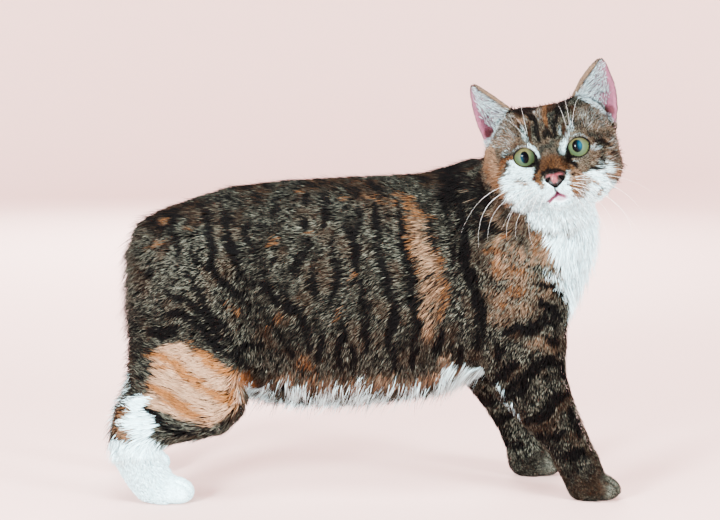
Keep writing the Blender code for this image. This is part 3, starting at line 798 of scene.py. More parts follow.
def face_marks(h, view, rough, mottle, coarse, other):
    """The colours of the face, from places in the head's frame and in front elevation."""
    ticked = bands(view, FACE_TICKED, soft=3)
    light = bands(view, FACE_LIGHT, soft=7)
    bridge = bands(view, FACE_BRIDGE, soft=4)
    tan = bands(view, FACE_TAN, soft=3.2) * (0.8 + 0.2 * other)
    rust = bands(view, FACE_ORANGE, soft=1.3)
    leftward = ramp(view[:, 0], 0, 20)
    black = most(
        0.85 * bands(view, FACE_BLACK, soft=1.8), 0.3 * light * ramp(-other, 0.1, 0.8),
        leather_share(h) < 1.16 + 0.1 * rough[:, 0],
    )
    for side in (-1, 1):
        out = h[:, 0] * side
        lid = LID_BLACK + 0.5 * ramp(h[:, 1] + 0.5 * (out - EYE_APART), 0, 8)
        black = most(black, (h[:, 2] > -14) & (out > 0) & (eye_gap(h, side) < lid))
    white = bands(view, FACE_WHITE, soft=4.5) * (1 - ticked)
    white = most(white, 0.27 * bands(view, FACE_PALE, soft=4)) * (0.8 + 0.2 * other)
    white = most(white, (0.17 - 0.02 * leftward) * light)
    brown = most(
        bands(view, FACE_BROWN, soft=2.2), 0.45 * ramp(coarse + 0.5 * mottle, -0.1, 0.9), bridge,
    )
    glow = light * (0.06 + 0.34 * ramp(other + 0.5 * mottle, -0.7, 0.5)) * (1 - 0.35 * leftward)
    return {
        "dark": black,
        "orange": most(0.8 * rust * (1 - black), 0.42 * bridge, 0.2 * tan),
        "white": white * (1 - rust) * (1 - black) * (1 - bridge) * (1 - tan),
        "brown": brown * np.where(light * (1 - bridge) > 0.3, 0.55, 1),
        "buff": most(0.2 * ramp(-view[:, 1], -30, 0) * ramp(mottle, -0.5, 0.6), tan),
        "cream": most(0.15 * tan, glow * (1 - black)),
    }


def markings(places, outward, part, chance):
    """The share of each colour at each place; chance is each hair's own number from -1 to 1."""
    names, kind = np.array(node_names)[part], kinds_of(part)
    near_fore, trunk = names == "foreleg_right", kind == "trunk"
    far_fore = np.isin(names, ("foreleg_left", "forefoot_left"))
    head = np.isin(kind, ON_HEAD)
    on_body = ~head & (kind != "ear")
    far_side = (places[:, 1] > SPINE_Y) & on_body & ~far_fore
    seen = places.copy()
    seen[far_side, 1] = 2 * SPINE_Y - seen[far_side, 1]
    seen[far_side] += 7 * drifts(places, 75, 41, 43, 44)[far_side] + (7, 0, 0)
    rough = drifts(places, 13, 5, 6)
    mottle, coarse = drift(places, 16, 8), drift(places, 30, 9)
    other = np.sin(40 * chance)         # a second number of each hair's own
    view = side_view(seen) + 1.0 * rough + 0.6 * chance[:, None] * (1, -1)
    along, height = view.T
    x, z = places[:, 0], places[:, 2]
    ahead, aside, up = outward.T

    # Black: the stripes, the bars of shoulder and leg, the ridge of the back, and the nape; and
    # painted shade in the fold between flank and thigh.
    dark = bands(view, widened(BODY_STRIPES, 1.02), soft=2.4) * ramp(mottle, -2.2, -0.9)
    halo = bands(view, widened(BODY_STRIPES, more=4.0), soft=5) * (1 - dark)
    barred = np.isin(kind, ("foreleg", "forefoot", "neck", "trunk"))
    ridge = ramp(up + 0.15 * mottle, 0.60, 0.92)
    nape = ramp(x, 46, 64) * ramp(height + 4 * mottle, 208, 222)
    nape = most(nape, 0.8 * ramp(x, 66, 88) * ramp(height + 4 * mottle, 190, 212))
    nape *= ramp(-x, -138, -118) * (kind != "head")
    nape *= 1 - 0.85 * far_side * ramp(np.sin(along / 2.7 + rough[:, 0]), -0.5, 0.3)
    dark = most(
        dark, 0.8 * bands(view, FOLD_SHADE, soft=2.5), bands(view, LEG_BARS, soft=2.2) * barred,
        0.7 * ridge * ramp(mottle, -0.9, 0.3), nape,
    )
    brown = most(0.9 * ridge * ramp(coarse, -0.5, 0.4), 0.5 * ramp(coarse, 0.0, 0.8))

    # Rust and buff: spots, the saddle and the shoulder.
    ticked = bands(view, SHOULDER_TICKED, soft=3)
    orange = most(
        0.4 * bands(view, ORANGE_SPOTS, soft=5) * on_body,
        0.55 * bands(view, SADDLE_RUST, soft=5), 0.62 * bands(view, SHOULDER_ORANGE, soft=4.5),
    ) * (1 - 0.8 * ticked)
    saddle = 0.85 * bands(view, SADDLE_BUFF, soft=6) * ramp(chance + 0.6 * mottle, -0.9, 0.7)
    shoulder = bands(view, SHOULDER_BUFF, soft=7) * ramp(mottle + 0.8 * other, -0.9, 0.5)
    shoulder *= (1 - nape) * (0.85 - 0.5 * ramp(-height + 3 * mottle, -172, -156))
    buff = most(saddle, shoulder) * (1 - ticked)

    # The thigh's cream patch, with its ginger stripes.
    rear = ramp(-x, 40, 60)
    outer = rear * ramp(abs(aside), 0.1, 0.4)
    thigh_ticked = bands(view, THIGH_TICKED, soft=2.5)
    thigh = bands(view, THIGH_CREAM, soft=3) * outer * (1 - thigh_ticked)
    thigh *= np.clip(ramp(along + 1.5 * mottle, -163, -159) + ramp(-height, -79, -75), 0, 1)
    for mask in (buff, dark, orange):
        mask *= 1 - thigh
    ginger = bands(view + 1.2 * chance[:, None], widened(THIGH_ORANGE, 1.15), soft=4)
    ginger *= outer * ramp(-height, -112, -108) * on_body
    orange = most(orange, 0.5 * bands(view, THIGH_ORANGE[:1], soft=3) * outer)

    # White: the chest, the belly with its buff edge, the shanks, and inside the hind legs.
    chest = bands(view, CHEST_WHITE, soft=4) * (x > 60)
    breast = ramp(ahead, 0.35, 0.75) * ramp(x, 118, 132) * on_body * ramp(z + 8 * mottle, 58, 70)
    throat = ramp(x, 136, 148) * ramp(z, 178, 192) * (kind == "neck")
    brisket = ramp(-up, 0.2, 0.5) * ramp(x, 92, 110)
    under = ramp(-up + 0.2 * mottle, 0.78, 0.96) * ramp(-z, -106, -94)
    belly = (0.8 + 0.2 * other) * bands(view, BELLY_WHITE, soft=8) * ramp(mottle, -0.8, 0.3)
    edge = bands(view - (0, 7), BELLY_WHITE, soft=7) * trunk * ramp(mottle + other, -1.0, 0.6)
    cream = most(thigh, 0.42 * edge)
    buff = most(buff, 0.34 * edge)
    shank = bands(view, SHANK_WHITE, soft=2.5) * ramp(-height, -80, -72)
    shank = most(shank, ramp(-height - 0.45 * abs(along + 172), -46, -40))
    shank *= rear * np.isin(kind, ("hindleg", "hindfoot"))
    inner = (names == "hindleg_right") * ramp(aside, 0.2, 0.6)
    inner += (names == "hindleg_left") * ramp(-aside, 0.2, 0.6)
    white = most(
        0.25 * thigh * ramp(along + 3 * mottle, -104, -88), throat, shank,
        most(chest, breast) * (kind != "foreleg"), most(brisket, under, belly) * trunk,
        inner * ramp(-z, -105, -85),
    )
    black = bands(view, THIGH_BLACK, soft=2) * rear
    tan = bands(view, SHANK_TAN, soft=2.4) * rear
    patch = most(thigh_ticked * rear, black)
    ginger *= (1 - patch) * (1 - shank)
    white *= 1 - patch
    dark = most(dark * (1 - white), black)
    white *= 1 - tan
    buff = most(buff, 0.9 * tan * ramp(mottle, -0.8, 0.4))
    orange = most(orange * (1 - shank), 0.4 * tan)

    # The fore legs: a white line on the near one and white inside it, and bars on the far one.
    inside = ramp(aside, 0.6, 0.9) * ramp(z, 34, 50) * ramp(-z, -110, -80)
    white = most(white, near_fore * most(0.36 * bands(view, FORE_WHITE, soft=3), 0.8 * inside))
    far_view = view[far_fore]
    rings = [(3.2, (60, level - 8), (110, level), (160, level + 6)) for level in (92, 118, 146)]
    dark[far_fore] = most(bands(far_view, FAR_FORE_BARS, soft=2), bands(far_view, rings))
    for mask in (orange, buff, brown):
        mask[far_fore] *= 0.3
    white[far_fore] = most(white[far_fore], 0.4 * bands(far_view, FAR_FORE_WHITE, soft=2))

    # The face.
    h = to_head(places)
    front_view = np.stack([h[:, 0] - 0.069 * h[:, 2], h[:, 1] + 0.051 * h[:, 2]], 1)
    front_view += 0.45 * rough + 0.3 * chance[:, None] * (1, -1)
    face = head & (h[:, 2] > -45)
    body_marks = {"dark": dark, "orange": orange, "white": white, "brown": brown, "buff": buff,
                  "cream": cream}
    on_face = [values[face] for values in (h, front_view, rough, mottle, coarse, other)]
    for name, mask in face_marks(*on_face).items():
        body_marks[name][face] = mask

    # The back of the head: lines over the crown, black towards the neck, white below.
    back = np.flatnonzero(head & ~face)
    a, b, c = h[back].T
    crown = ramp(np.cos(a * 2 * math.pi / 15 + 1.2 * rough[back, 0]), -0.2, 0.7)
    crown *= ramp(b, -15, 20) * ramp(-c, 47, 56)
    under_chin = ramp(-b, 30, 42)
    rings = ramp(np.sin(b / 2.4 + 0.06 * c + rough[back, 0]), -0.5, 0.3)
    at_neck = ramp(-c, 48, 58) * ramp(-b, -16, 2) * (1 - under_chin)
    at_neck *= 1 - 0.85 * ramp(a, -15, 5) * rings
    dark[back] = 0.85 * most(crown, at_neck)
    white[back] = under_chin
    orange[back] = 0.4 * ramp(coarse[back], 0.2, 0.8)
    buff[back] = 0

    # The ears: dark brown behind, pink within, with buff inner rims and dark tips.
    is_ear = kind == "ear"
    up_ear, over_ear = ear_view(h)
    rise, over = up_ear[is_ear], over_ear[is_ear]
    dark[is_ear] = 0.45 + 0.55 * ramp(rise, 0.9, 1.0)
    buff[is_ear] = 0.6 * ramp(-over, 0.9, 0.97) * ramp(-rise, -0.97, -0.88)
    brown[is_ear] = 0.5
    orange[is_ear] = 0
    white[is_ear] = 0
    facing = ramp(outward @ HEAD[2], 0, 0.25)
    ear_foot = head & (above_brow(up_ear, over_ear) > -0.03) & (h[:, 2] < -18)
    pocket = facing * (is_ear | ear_foot) * ramp(ear_pocket(up_ear, over_ear), 0.1, 0.6)
    orange = most(orange, 0.9 * pocket)
    red = most(0.6 * pocket, mouth_red(h))
    within = is_ear * facing * ramp(over_ear, -0.7, -0.1)
    pink = most(within * (1 - 0.7 * pocket), 0.3 * pocket, lips(h))

    # Pale ticking: on the head, and on the body at the shoulder, beside the stripes and low down.
    pale = np.where(head, 0.75 + 0.25 * mottle, 0)
    pale[back] = 0.6 * (1 - at_neck)
    front = ramp(along + 8 * coarse, 92, 108) * ramp(height, 125, 150) * (1 - nape)
    beside = halo * ramp(coarse + 0.4 * mottle, -0.7, 0.5) * (1 - nape)
    haunch = ramp(-along + 10 * coarse, 95, 120) * ramp(-abs(height - 175), -45, -20)
    pale = most(pale, 0.1 + 0.2 * mottle, on_body * most(
        (0.9 - 0.4 * ramp(height, 196, 210)) * front,
        most(0.72 * beside, 0.5 * haunch) * (1 - ridge),
        0.45 * ramp(-height + 6 * mottle, -112, -98) * (along < 100),
        0.6 * (kind == "foreleg") * ramp(mottle, -0.8, 0.3),
    ))
    pale *= 1 - np.where(on_body, 0.8 * (other > 0.6), 0.5 * (other > 0.75))
    pale += 0.4 * on_body * (other < -0.8)
    dark += 0.35 * (coarse - 0.2) * on_body * (1 - pale) * (dark > 0.03)

    # The fore paws: painted shade in the clefts between their toes, and paler ticking on the toes.
    behind, across = toe_view(places)
    toes = ramp(-behind, -TOE_LENGTH, -TOE_LENGTH + 6) * (kind == "forefoot")
    cleft_shade = toe_groove(across, 0.9)
    dark = most(dark * (1 - toes), 0.75 * toes * cleft_shade)
    pale = most(pale, 0.6 * toes * (1 - cleft_shade))
    shares = {"pale": pale, "brown": brown, "buff": buff, "cream": cream, "ginger": ginger,
              "pink": pink, "red": red}
    shares = {name: np.clip(mask, 0, 1) for name, mask in shares.items()}
    soft, even = np.where(head, 0.4, 0.2), chance * np.where(head, 0.6, 1)
    for name, mask in (("dark", dark), ("orange", orange), ("white", white)):
        shares[name] = tuft_share(mask, even, soft)
    return shares


def store(mesh, name, values):
    layer = mesh.attributes.new(name, "FLOAT", "POINT")
    layer.data.foreach_set("value", np.asarray(values, np.float32))


hide_out = read_normals(skin.data)
hide_part = nearest_node(hide)
for name, mask in markings(hide, hide_out, hide_part, np.zeros(len(hide))).items():
    store(skin.data, name, mask)
store(skin.data, "along", np.full(len(hide), 0.72))
store(skin.data, "tone", 0.6 * np.random.default_rng(3).uniform(-1, 1, len(hide)))

# ==== The coat: a quarter of a million tufts, each a closed blade rooted in the skin ====
# They are longest on neck, belly and rump, close on the legs, and shortest on face and paws. They
# lie backwards and down the body, overlap, and clump a little at their tips.

TUFT_LENGTH = (1.3, 1.75)       # at no depth, and more for each millimetre of depth
TUFT_WIDTH = (0.42, 0.085)
# Tufts to the square millimetre.
TUFT_DENSITY = {"trunk": 0.98, "neck": 1.0, "head": 1.85, "foreleg": 0.85, "hindleg": 0.93,
                "forefoot": 1.4, "hindfoot": 1.4, "ear": 2.8, "eye": 2.3, "nose": 2.3}
TUFT_FLAT = 0.4                 # thickness against width
TUFT_POINTS = 5                 # a root, a ring of three and a tip
TUFT_FACES = np.array([(0, 2, 1), (0, 3, 2), (0, 1, 3), (4, 1, 2), (4, 2, 3), (4, 3, 1)])
TUFT_ALONG = (0.0, 0.5, 0.5, 0.5, 1.0)
ROOT_SUNK = 0.4
PATCH = 0.0015                  # half the size of a tuft's patch on its map
LOWEST = 0.1                    # no hair reaches below this height, just over the floor
draw = np.random.default_rng(20)


def lie_of_coat(places, outward, part):
    """The way the hair points at each place, before it is laid flat on the body."""
    x, y, z = places.T
    kind = kinds_of(part)
    lie = np.zeros_like(places)
    low = np.clip(-outward[:, 2], 0, 1)
    flank = 1 - abs(outward[:, 2])
    rump = ramp(-x, 140, 178) * (1 - 0.8 * ramp(z, 180, 222))
    under = ramp(-z, -168, -105)
    down = -0.12 - 0.4 * flank - 1.1 * low - 0.8 * rump - 0.7 * under
    body = np.stack([-1 + 0.4 * rump + 0.6 * under, 0 * x, down], 1)
    throat = ramp(outward[:, 0], 0.1, 0.7)
    neck = np.stack([-0.75 + 0.65 * throat, 0 * x, -0.5 - 0.6 * throat], 1)
    fore = np.stack([-0.2 - 0.45 * ramp(z, 100, 150), 0 * x, -1 + 0 * x], 1)
    thigh = ramp(z, 46, 62) * ramp(-x, 86, 104) * ramp(abs(outward[:, 1]), 0.35, 0.7)
    high = ramp(z, 105, 140)
    hind = np.stack([-0.3 - 0.7 * thigh, 0 * x, -1 + 1.4 * thigh - 0.9 * high * thigh], 1)
    sole = ramp(-z, -26, -10)
    foot = np.stack([0.25 + 0.75 * sole, 0 * x, -0.8 + 0.5 * sole], 1)
    h = to_head(places)
    face = unit(h - np.array((0, -17, 16)))
    face[:, 1] -= 0.35 * ramp(-h[:, 1], 5, 30)
    face = face @ HEAD
    choices = {"trunk": body, "neck": neck, "foreleg": fore, "hindleg": hind, "forefoot": foot,
               "hindfoot": foot, "head": face, "eye": face, "nose": face, "ear": face}
    for name, choice in choices.items():
        mine = kind == name
        lie[mine] = unit(choice[mine])
    return lie


def nearest_among(points, places):
    """The number of the point that lies nearest to each place."""
    tree = KDTree(len(points))
    for index, point in enumerate(points):
        tree.insert(tuple(point), index)
    tree.balance()
    return np.array([tree.find(tuple(place))[1] for place in places])


# What the coat takes from each point of the skin: its depth, its lie, and whether it is bare there.
corners = read_triangles(skin.data)
nearest = nearest_among(form, hide)
hide_depth = depth[nearest]
form_lie = spread(lie_of_coat(form, form_out, form_part), form_ends, 25)
hide_lie = form_lie[nearest]
is_ear = kinds_of(hide_part) == "ear"
hide_depth[is_ear] = COAT_DEPTH["ear"]
h = to_head(hide)
for side in (-1, 1):
    hide_lie[is_ear & (h[:, 0] * side > 0)] = unit(np.array((0.35 * side, 1, -0.05))) @ HEAD
hide_depth = spread(hide_depth, ends, 10)
hide_lie = spread(hide_lie, ends, 8)
bare = (leather_share(h) < 1.1) | (lips(h) > 0.36)
for side in (-1, 1):
    bare |= (eye_gap(h, side) < 0.9) & (h[:, 2] > -14) & (abs(h[:, 1]) < 14) & (h[:, 0] * side > 0)
bare |= (hide[:, 2] < 1.2) & (hide_out[:, 2] < -0.7)

# The roots: spread over the skin, closer together where the hair is shorter.
edge_a = hide[corners[:, 1]] - hide[corners[:, 0]]
edge_b = hide[corners[:, 2]] - hide[corners[:, 0]]
areas = np.linalg.norm(np.cross(edge_a, edge_b), axis=1) / 2
hide_density = by_kind(TUFT_DENSITY, hide_part)
front_of_face = ramp(h[:, 2], -18, 0) * np.isin(kinds_of(hide_part), ON_HEAD)
hide_density *= 1 + 0.45 * front_of_face
density = spread(hide_density, ends, 6)[corners].mean(1)
density[bare[corners].all(1)] = 0
sums = np.cumsum(areas * density)
count = int(sums[-1])
chosen = np.searchsorted(sums, (np.arange(count) + draw.uniform(0, 1, count)) / count * sums[-1])
chosen = corners[np.clip(chosen, 0, len(corners) - 1)]
u, v = draw.uniform(0, 1, (2, count))
flip = u + v > 1
u[flip], v[flip] = 1 - u[flip], 1 - v[flip]
weights = np.stack([1 - u - v, u, v], 1)[:, :, None]


def at_roots(values):
    return (values[chosen].reshape(count, 3, -1) * weights).sum(1)


roots = at_roots(hide)
root_out = unit(at_roots(hide_out))
root_depth = at_roots(hide_depth)[:, 0]
root_part = hide_part[chosen[:, 0]]
root_kind = kinds_of(root_part)
root_lie = at_roots(hide_lie)


def laid(lie, outward):
    """The lie of the hair, flat on the skin."""
    return unit(lie - outward * (lie * outward).sum(1, keepdims=True))


lie = laid(root_lie, root_out)
lie += 0.2 * drifts(roots, 38, 1, 2, 3) + 0.17 * drifts(roots, 9, 21, 22, 23)
lie = laid(lie + 0.1 * draw.normal(0, 1, roots.shape), root_out)
length = (TUFT_LENGTH[0] + TUFT_LENGTH[1] * root_depth) * draw.uniform(0.75, 1.2, count)
width = (TUFT_WIDTH[0] + TUFT_WIDTH[1] * root_depth) * draw.uniform(0.75, 1.25, count)
rise = root_depth * draw.uniform(0.7, 1.05, count)

# Loose: where the coat hangs free it is longer, parts into locks and stands off the body.
root_head = to_head(roots)
body = np.isin(root_kind, ("trunk", "neck"))
ahead, up = root_out[:, 0], root_out[:, 2]
loose = most(
    body * ramp(-up, 0.25, 0.8) * ramp(-roots[:, 2], -115, -100),
    body * ramp(ahead, 0.3, 0.8) * ramp(roots[:, 0], 100, 130),
    0.7 * (root_kind == "hindleg") * ramp(-roots[:, 2], -120, -95) * ramp(root_depth, 3, 5),
    0.6 * body * ramp(-ahead, 0.5, 0.9) * ramp(-roots[:, 0], 140, 165),
)
front = body * ramp(ahead, 0.15, 0.6) * ramp(roots[:, 0], 95, 125)
length *= 1 + 0.45 * loose * (1 - 0.6 * front)
rise *= 1 - 0.3 * front
ruffled = most(
    (body | (root_kind == "hindleg")) * ramp(-ahead, 0.1, 0.7) * ramp(-roots[:, 0], 130, 160),
    body * ramp(ahead, 0.4, 0.8) * ramp(roots[:, 0], 120, 150),
)
rise *= 1 + 0.35 * ruffled * (1 - front) * draw.uniform(0, 1, count)
stray = draw.uniform(0, 1, count) < 0.08 + 0.06 * loose + 0.16 * ruffled
on_head = root_kind == "head"
rise[stray] *= draw.uniform(1.15, 1.6, stray.sum()) + 0.3 * ruffled[stray]
rise[stray] = np.maximum(rise, ruffled * length * draw.uniform(0.35, 0.7, count))[stray]
rise[stray & on_head] += draw.uniform(0.4, 1.8, count)[stray & on_head]
length[stray] *= 1.12
length[stray & on_head] *= 1.3
width[stray] *= 0.5
toe_hair = toe_view(roots)[0] < TOE_LENGTH + 6
length[toe_hair] *= 0.36
rise[toe_hair] *= 0.45
width[toe_hair] *= 0.8

# Inside the ear the skin shows through a short down, and long soft hair grows from the inner edge.
facing = root_out @ HEAD[2]
ear_in = (root_kind == "ear") & (facing > 0.1)
up_ear, over_ear = ear_view(root_head)
side = np.sign(root_head[:, 0])
above = above_brow(up_ear, over_ear)
before_ear = on_head & (abs(over_ear) < 1.1) & (facing > 0.05)
before_ear &= (root_head[:, 2] < -18) & (root_head[:, 2] > -56)
ear_base = before_ear & (above > draw.uniform(-0.04, 0.05, count)) & (over_ear < 0.9)
inner = ear_in & (over_ear < 0.62) & (over_ear > -0.98) & (up_ear < 0.95)
inner &= draw.uniform(0, 1, count) < 0.34
inner |= ear_base
way = np.stack([0.85 * side, 0.62 + 0 * side, 0.15 + 0 * side], 1) @ HEAD
lie[inner] = laid((way + 0.17 * draw.normal(0, 1, (count, 3)))[inner], root_out[inner])
length[inner] = draw.uniform(6, 12, inner.sum()) * (1 - 0.6 * np.clip(up_ear[inner], 0, 1))
rise[inner] = draw.uniform(1.2, 3.8, inner.sum()) * (1 - 0.6 * np.clip(up_ear[inner], 0, 1))
width[inner] = draw.uniform(0.28, 0.5, inner.sum())
short = ear_in & ~inner
length[short] = draw.uniform(1.2, 2.2, short.sum())
width[short] *= 0.7
rise[short] = 0.35
near_pocket = (up_ear < 0.4) & (over_ear > 0.0) & (ear_in | ear_base)
length[near_pocket] *= 0.5
pocket = (ear_in | ear_base) & (ear_pocket(up_ear, over_ear) > 0.2)
length[pocket] *= 0.4
rise[pocket] *= 0.2
length[ear_base] *= 0.8
# Before the ear the head's hair grows up over its edge.
fringe = before_ear & ~ear_base & (above > -0.25) & (over_ear < 0.6)
length[fringe] *= 0.8

# Round the lips the hair is shortest.
by_mouth = (abs(root_head[:, 0]) < 11) & (root_head[:, 2] > 2)
by_mouth &= abs(above_mouth(root_head) - 1.5) < 3.5
length[by_mouth] *= 0.38
rise[by_mouth] *= 0.5

skin_tree = surface_tree(hide, corners)


def at_height(places, height):
    """The places moved to that height above the skin."""
    moved = places.copy()
    for index, place in enumerate(places):
        near, outward, _, _ = skin_tree.find_nearest(tuple(place))
        offset = height[index] - (Vector(place) - near).dot(outward)
        moved[index] += np.array(outward) * offset
    return moved


middles = roots + lie * (0.45 * length)[:, None] + root_out * (0.6 * rise)[:, None]
middles = at_height(middles, 0.62 * rise)
tips = at_height(roots + lie * length[:, None] + root_out * rise[:, None], rise)
free = (loose * rise * (1 - 0.85 * front) * draw.uniform(0.1, 0.9, count))[:, None]
tips += (root_out * 0.7 - (0, 0, 0.6)) * free * (root_kind != "hindleg")[:, None]

# Locks: tips lean towards the tip of a leading tuft nearby.
leaders = np.flatnonzero(draw.uniform(0, 1, count) < 0.11)
led_by = leaders[nearest_among(tips[leaders], tips)]
pull = tips[led_by] - tips
reach = np.linalg.norm(pull, axis=1)
share = (0.28 + 0.3 * loose) * draw.uniform(0.4, 1.2, count) * (reach < 0.45 * length) * ~ear_in
tips += pull * share[:, None]
roots = roots - root_out * ROOT_SUNK
across = unit(np.cross(lie, root_out))

chance = draw.uniform(-1, 1, count)
coat_marks = markings(0.3 * middles + 0.7 * tips, root_out, root_part, chance)
coat_marks["pink"] *= 0.6 * (root_kind != "ear")


def recolour(mine, **marks):
    for mark, mask in marks.items():
        coat_marks[mark][mine] = mask


# Inside the ear: the long pale hair, the down, the fold low on the outer edge, and the rim.
rim = ear_in & ((over_ear < -0.93) | (up_ear > 0.95))
recolour(inner, white=draw.uniform(0.05, 0.62, inner.sum()))
recolour(inner, pink=draw.uniform(0, 0.35, inner.sum()), pale=1, dark=0, orange=0, buff=0, brown=0)
recolour(short, pink=0.75 * ramp(over_ear[short], -0.8, 0.2), white=0.12)
recolour(pocket, pink=0.25, orange=0.9, white=0, red=0.5 * ear_pocket(up_ear, over_ear)[pocket])
recolour(rim, pink=0, buff=0.55, dark=ramp(up_ear[rim], 0.93, 0.99),
         white=0.2 * coat_marks["white"][rim])
tone = np.clip(draw.normal(0, 0.55, count) + 0.35 * chance, -1, 1)


def tuft_mesh(name, mine, unwrapped):
    """The chosen tufts as one mesh: a root point, a flat three-cornered ring and a tip for each."""
    half = (width[mine] / 2)[:, None]
    over = root_out[mine] * half * 2 * TUFT_FLAT
    middle, aside = middles[mine], across[mine] * half
    ring = (middle - aside, middle + over, middle + aside)
    points = np.stack([roots[mine], *ring, tips[mine]], 1).reshape(-1, 3)
    points[:, 2] = np.maximum(points[:, 2], LOWEST)
    number = len(points) // TUFT_POINTS
    faces = (np.arange(number)[:, None, None] * TUFT_POINTS + TUFT_FACES).reshape(-1, 3)
    mesh = bpy.data.meshes.new(name)
    mesh.vertices.add(len(points))
    mesh.loops.add(faces.size)
    mesh.polygons.add(len(faces))
    mesh.vertices.foreach_set("co", (points * MM).astype(np.float32).ravel())
    mesh.loops.foreach_set("vertex_index", faces.astype(np.int32).ravel())
    mesh.polygons.foreach_set("loop_start", np.arange(0, faces.size, 3, dtype=np.int32))
    mesh.update(calc_edges=True)
    for mark, mask in (*coat_marks.items(), ("tone", tone)):
        store(mesh, mark, np.repeat(mask[mine], TUFT_POINTS))
    store(mesh, "along", np.tile(TUFT_ALONG, number))
    patch = np.array([(0, -1), (-1, 0), (0, 0), (1, 0), (0, 1)]) * PATCH
    places = np.clip(unwrapped[mine], 0.01, 0.99)[:, None] + patch
    layer = mesh.uv_layers.new(name="OFBake")
    corner_places = places.reshape(-1, 2)[faces.ravel()]
    layer.data.foreach_set("uv", corner_places.astype(np.float32).ravel())
    return mesh


def stretched(values, mine):
    """The values from 0.02 to 0.98 over the chosen tufts."""
    low, high = values[mine].min(), values[mine].max()
    return 0.02 + 0.96 * (values - low) / (high - low)


def round_axis(mine, centre, along):
    """An unwrap of a limb or barrel: the angle round its axis, against the distance along it."""
    gone = roots - centre
    turn = np.arctan2(gone[:, 1], gone[:, 2 - along])
    return np.stack([0.5 + turn / 2 / math.pi, stretched(roots[:, along], mine)], 1)


def round_head():
    """An unwrap of the head: how far round and how far up each place is, from the head's middle."""
    a, b, c = (root_head + (0, 0, 38)).T
    turn, tilt = np.arctan2(a, c), np.arctan2(b, np.hypot(a, c))
    return np.stack([0.5 + turn / 2 / math.pi, 0.5 + tilt / math.pi], 1)


# The pieces of the coat, each with the tufts in it and the axis of its unwrap, if it has one.
FACE_CUT = -22
TRUNK_CUTS = (-400, -118, -60, 0, 55, 105, 400)
is_head = np.isin(root_kind, ON_HEAD)
is_face = root_head[:, 2] > FACE_CUT
left = roots[:, 1] > SPINE_Y
fore = np.isin(root_kind, ("foreleg", "forefoot"))
fore_left = np.array([name.endswith("left") for name in node_names])[root_part]
hind = root_kind == "hindleg"
trunk = root_kind == "trunk"
pieces = {
    "coat_face": (is_head & is_face, None),
    "coat_crown": (is_head & ~is_face, None),
    "coat_ears": (root_kind == "ear", None),
    "coat_neck": (root_kind == "neck", 0),
    "coat_foreleg_left": (fore & fore_left, 2),
    "coat_foreleg_right": (fore & ~fore_left, 2),
    "coat_hindleg_left": (hind & left, 2),
    "coat_hindleg_right": (hind & ~left, 2),
    "coat_hindfeet": (root_kind == "hindfoot", 2),
}
for number, (back, front) in enumerate(zip(TRUNK_CUTS, TRUNK_CUTS[1:])):
    within = (roots[:, 0] > back) & (roots[:, 0] <= front)
    pieces[f"coat_trunk_{number + 1}"] = (trunk & within, 0)

# ==== Fur: the shared colours of skin and coat, and the material they are set in ====
# Agouti hairs are banded dark, pale and dark again, and each tuft has its own tone; the marks
# replace the bands by black, rust, buff or white. Each hair also darkens towards its root, partly
# its banding and partly painted shade deep in the coat.


def shade(code):
    """Linear red, green and blue of a colour given as a hexadecimal code."""
    levels = [int(code[k:k + 2], 16) / 255 for k in (0, 2, 4)]
    return [v / 12.92 if v <= 0.04045 else ((v + 0.055) / 1.055) ** 2.4 for v in levels] + [1]


def add_node(tree, kind, **settings):
    node = tree.nodes.new(kind)
    for key, value in settings.items():
        setattr(node, key, value)
    return node


def feed(tree, target, source):
    if isinstance(source, bpy.types.NodeSocket):
        tree.links.new(source, target)
    else:
        target.default_value = source


def maths(tree, operation, *values):
    node = add_node(tree, "ShaderNodeMath", operation=operation)
    for target, value in zip(node.inputs, values):
        feed(tree, target, value)
    return node.outputs[0]


def mixed(tree, share, first, second, blend="MIX"):
    node = add_node(tree, "ShaderNodeMix", data_type="RGBA", blend_type=blend)
    feed(tree, node.inputs[0], share)
    feed(tree, node.inputs[6], first)
    feed(tree, node.inputs[7], second)
    return node.outputs[2]


def colour_ramp(tree, value, stops):
    node = add_node(tree, "ShaderNodeValToRGB")
    elements = node.color_ramp.elements
    while len(elements) < len(stops):
        elements.new(0.5)
    for element, (place, code) in zip(elements, stops):
        element.position = place
        element.color = shade(code)
    feed(tree, node.inputs[0], value)
    return node.outputs[0]


def stored(tree, name):
    return add_node(tree, "ShaderNodeAttribute", attribute_name=name).outputs["Fac"]


# The colours of a hair from its root to its tip, first without any mark. Each ramp darkens towards
# the root, partly as agouti banding and partly as painted shade deep in the coat; in the white it
# is painted shade alone.
GROUND = [(0.3, "020202"), (0.60, "040404"), (0.71, "161410"), (0.81, "1a1712"),
          (0.9, "050504"), (1.0, "020202")]
HAIR = {
    "pale": [(0.3, "080807"), (0.60, "0e0f0d"), (0.70, "4e4e45"), (0.83, "56574b"),
             (0.92, "111210"), (1.0, "090908")],
    "brown": [(0.3, "0a0604"), (0.62, "1e130b"), (0.82, "27190f"), (1.0, "0c0704")],
    "buff": [(0.3, "2d2117"), (0.62, "705641"), (0.85, "7b6048"), (1.0, "503b29")],
    "orange": [(0.3, "180f09"), (0.62, "462c18"), (0.85, "54371f"), (1.0, "2a1b0f")],
    "cream": [(0.3, "48372a"), (0.62, "82654d"), (0.85, "8e7058"), (1.0, "7d6149")],
    "ginger": [(0.3, "38220f"), (0.62, "674020"), (0.85, "724925"), (1.0, "5b371b")],
    "white": [(0.3, "9fc0c7"), (0.6, "c8edf4"), (1.0, "d9fafe")],
    "dark": [(0.3, "030303"), (0.7, "050404"), (1.0, "020202")],
}
fur = bpy.data.node_groups.new("fur_colours", "ShaderNodeTree")
fur.interface.new_socket("Colour", in_out="OUTPUT", socket_type="NodeSocketColor")
fur_out = add_node(fur, "NodeGroupOutput")
tone_value = stored(fur, "tone")
phase = maths(fur, "MULTIPLY_ADD", tone_value, 0.15, stored(fur, "along"))
colour = colour_ramp(fur, phase, GROUND)
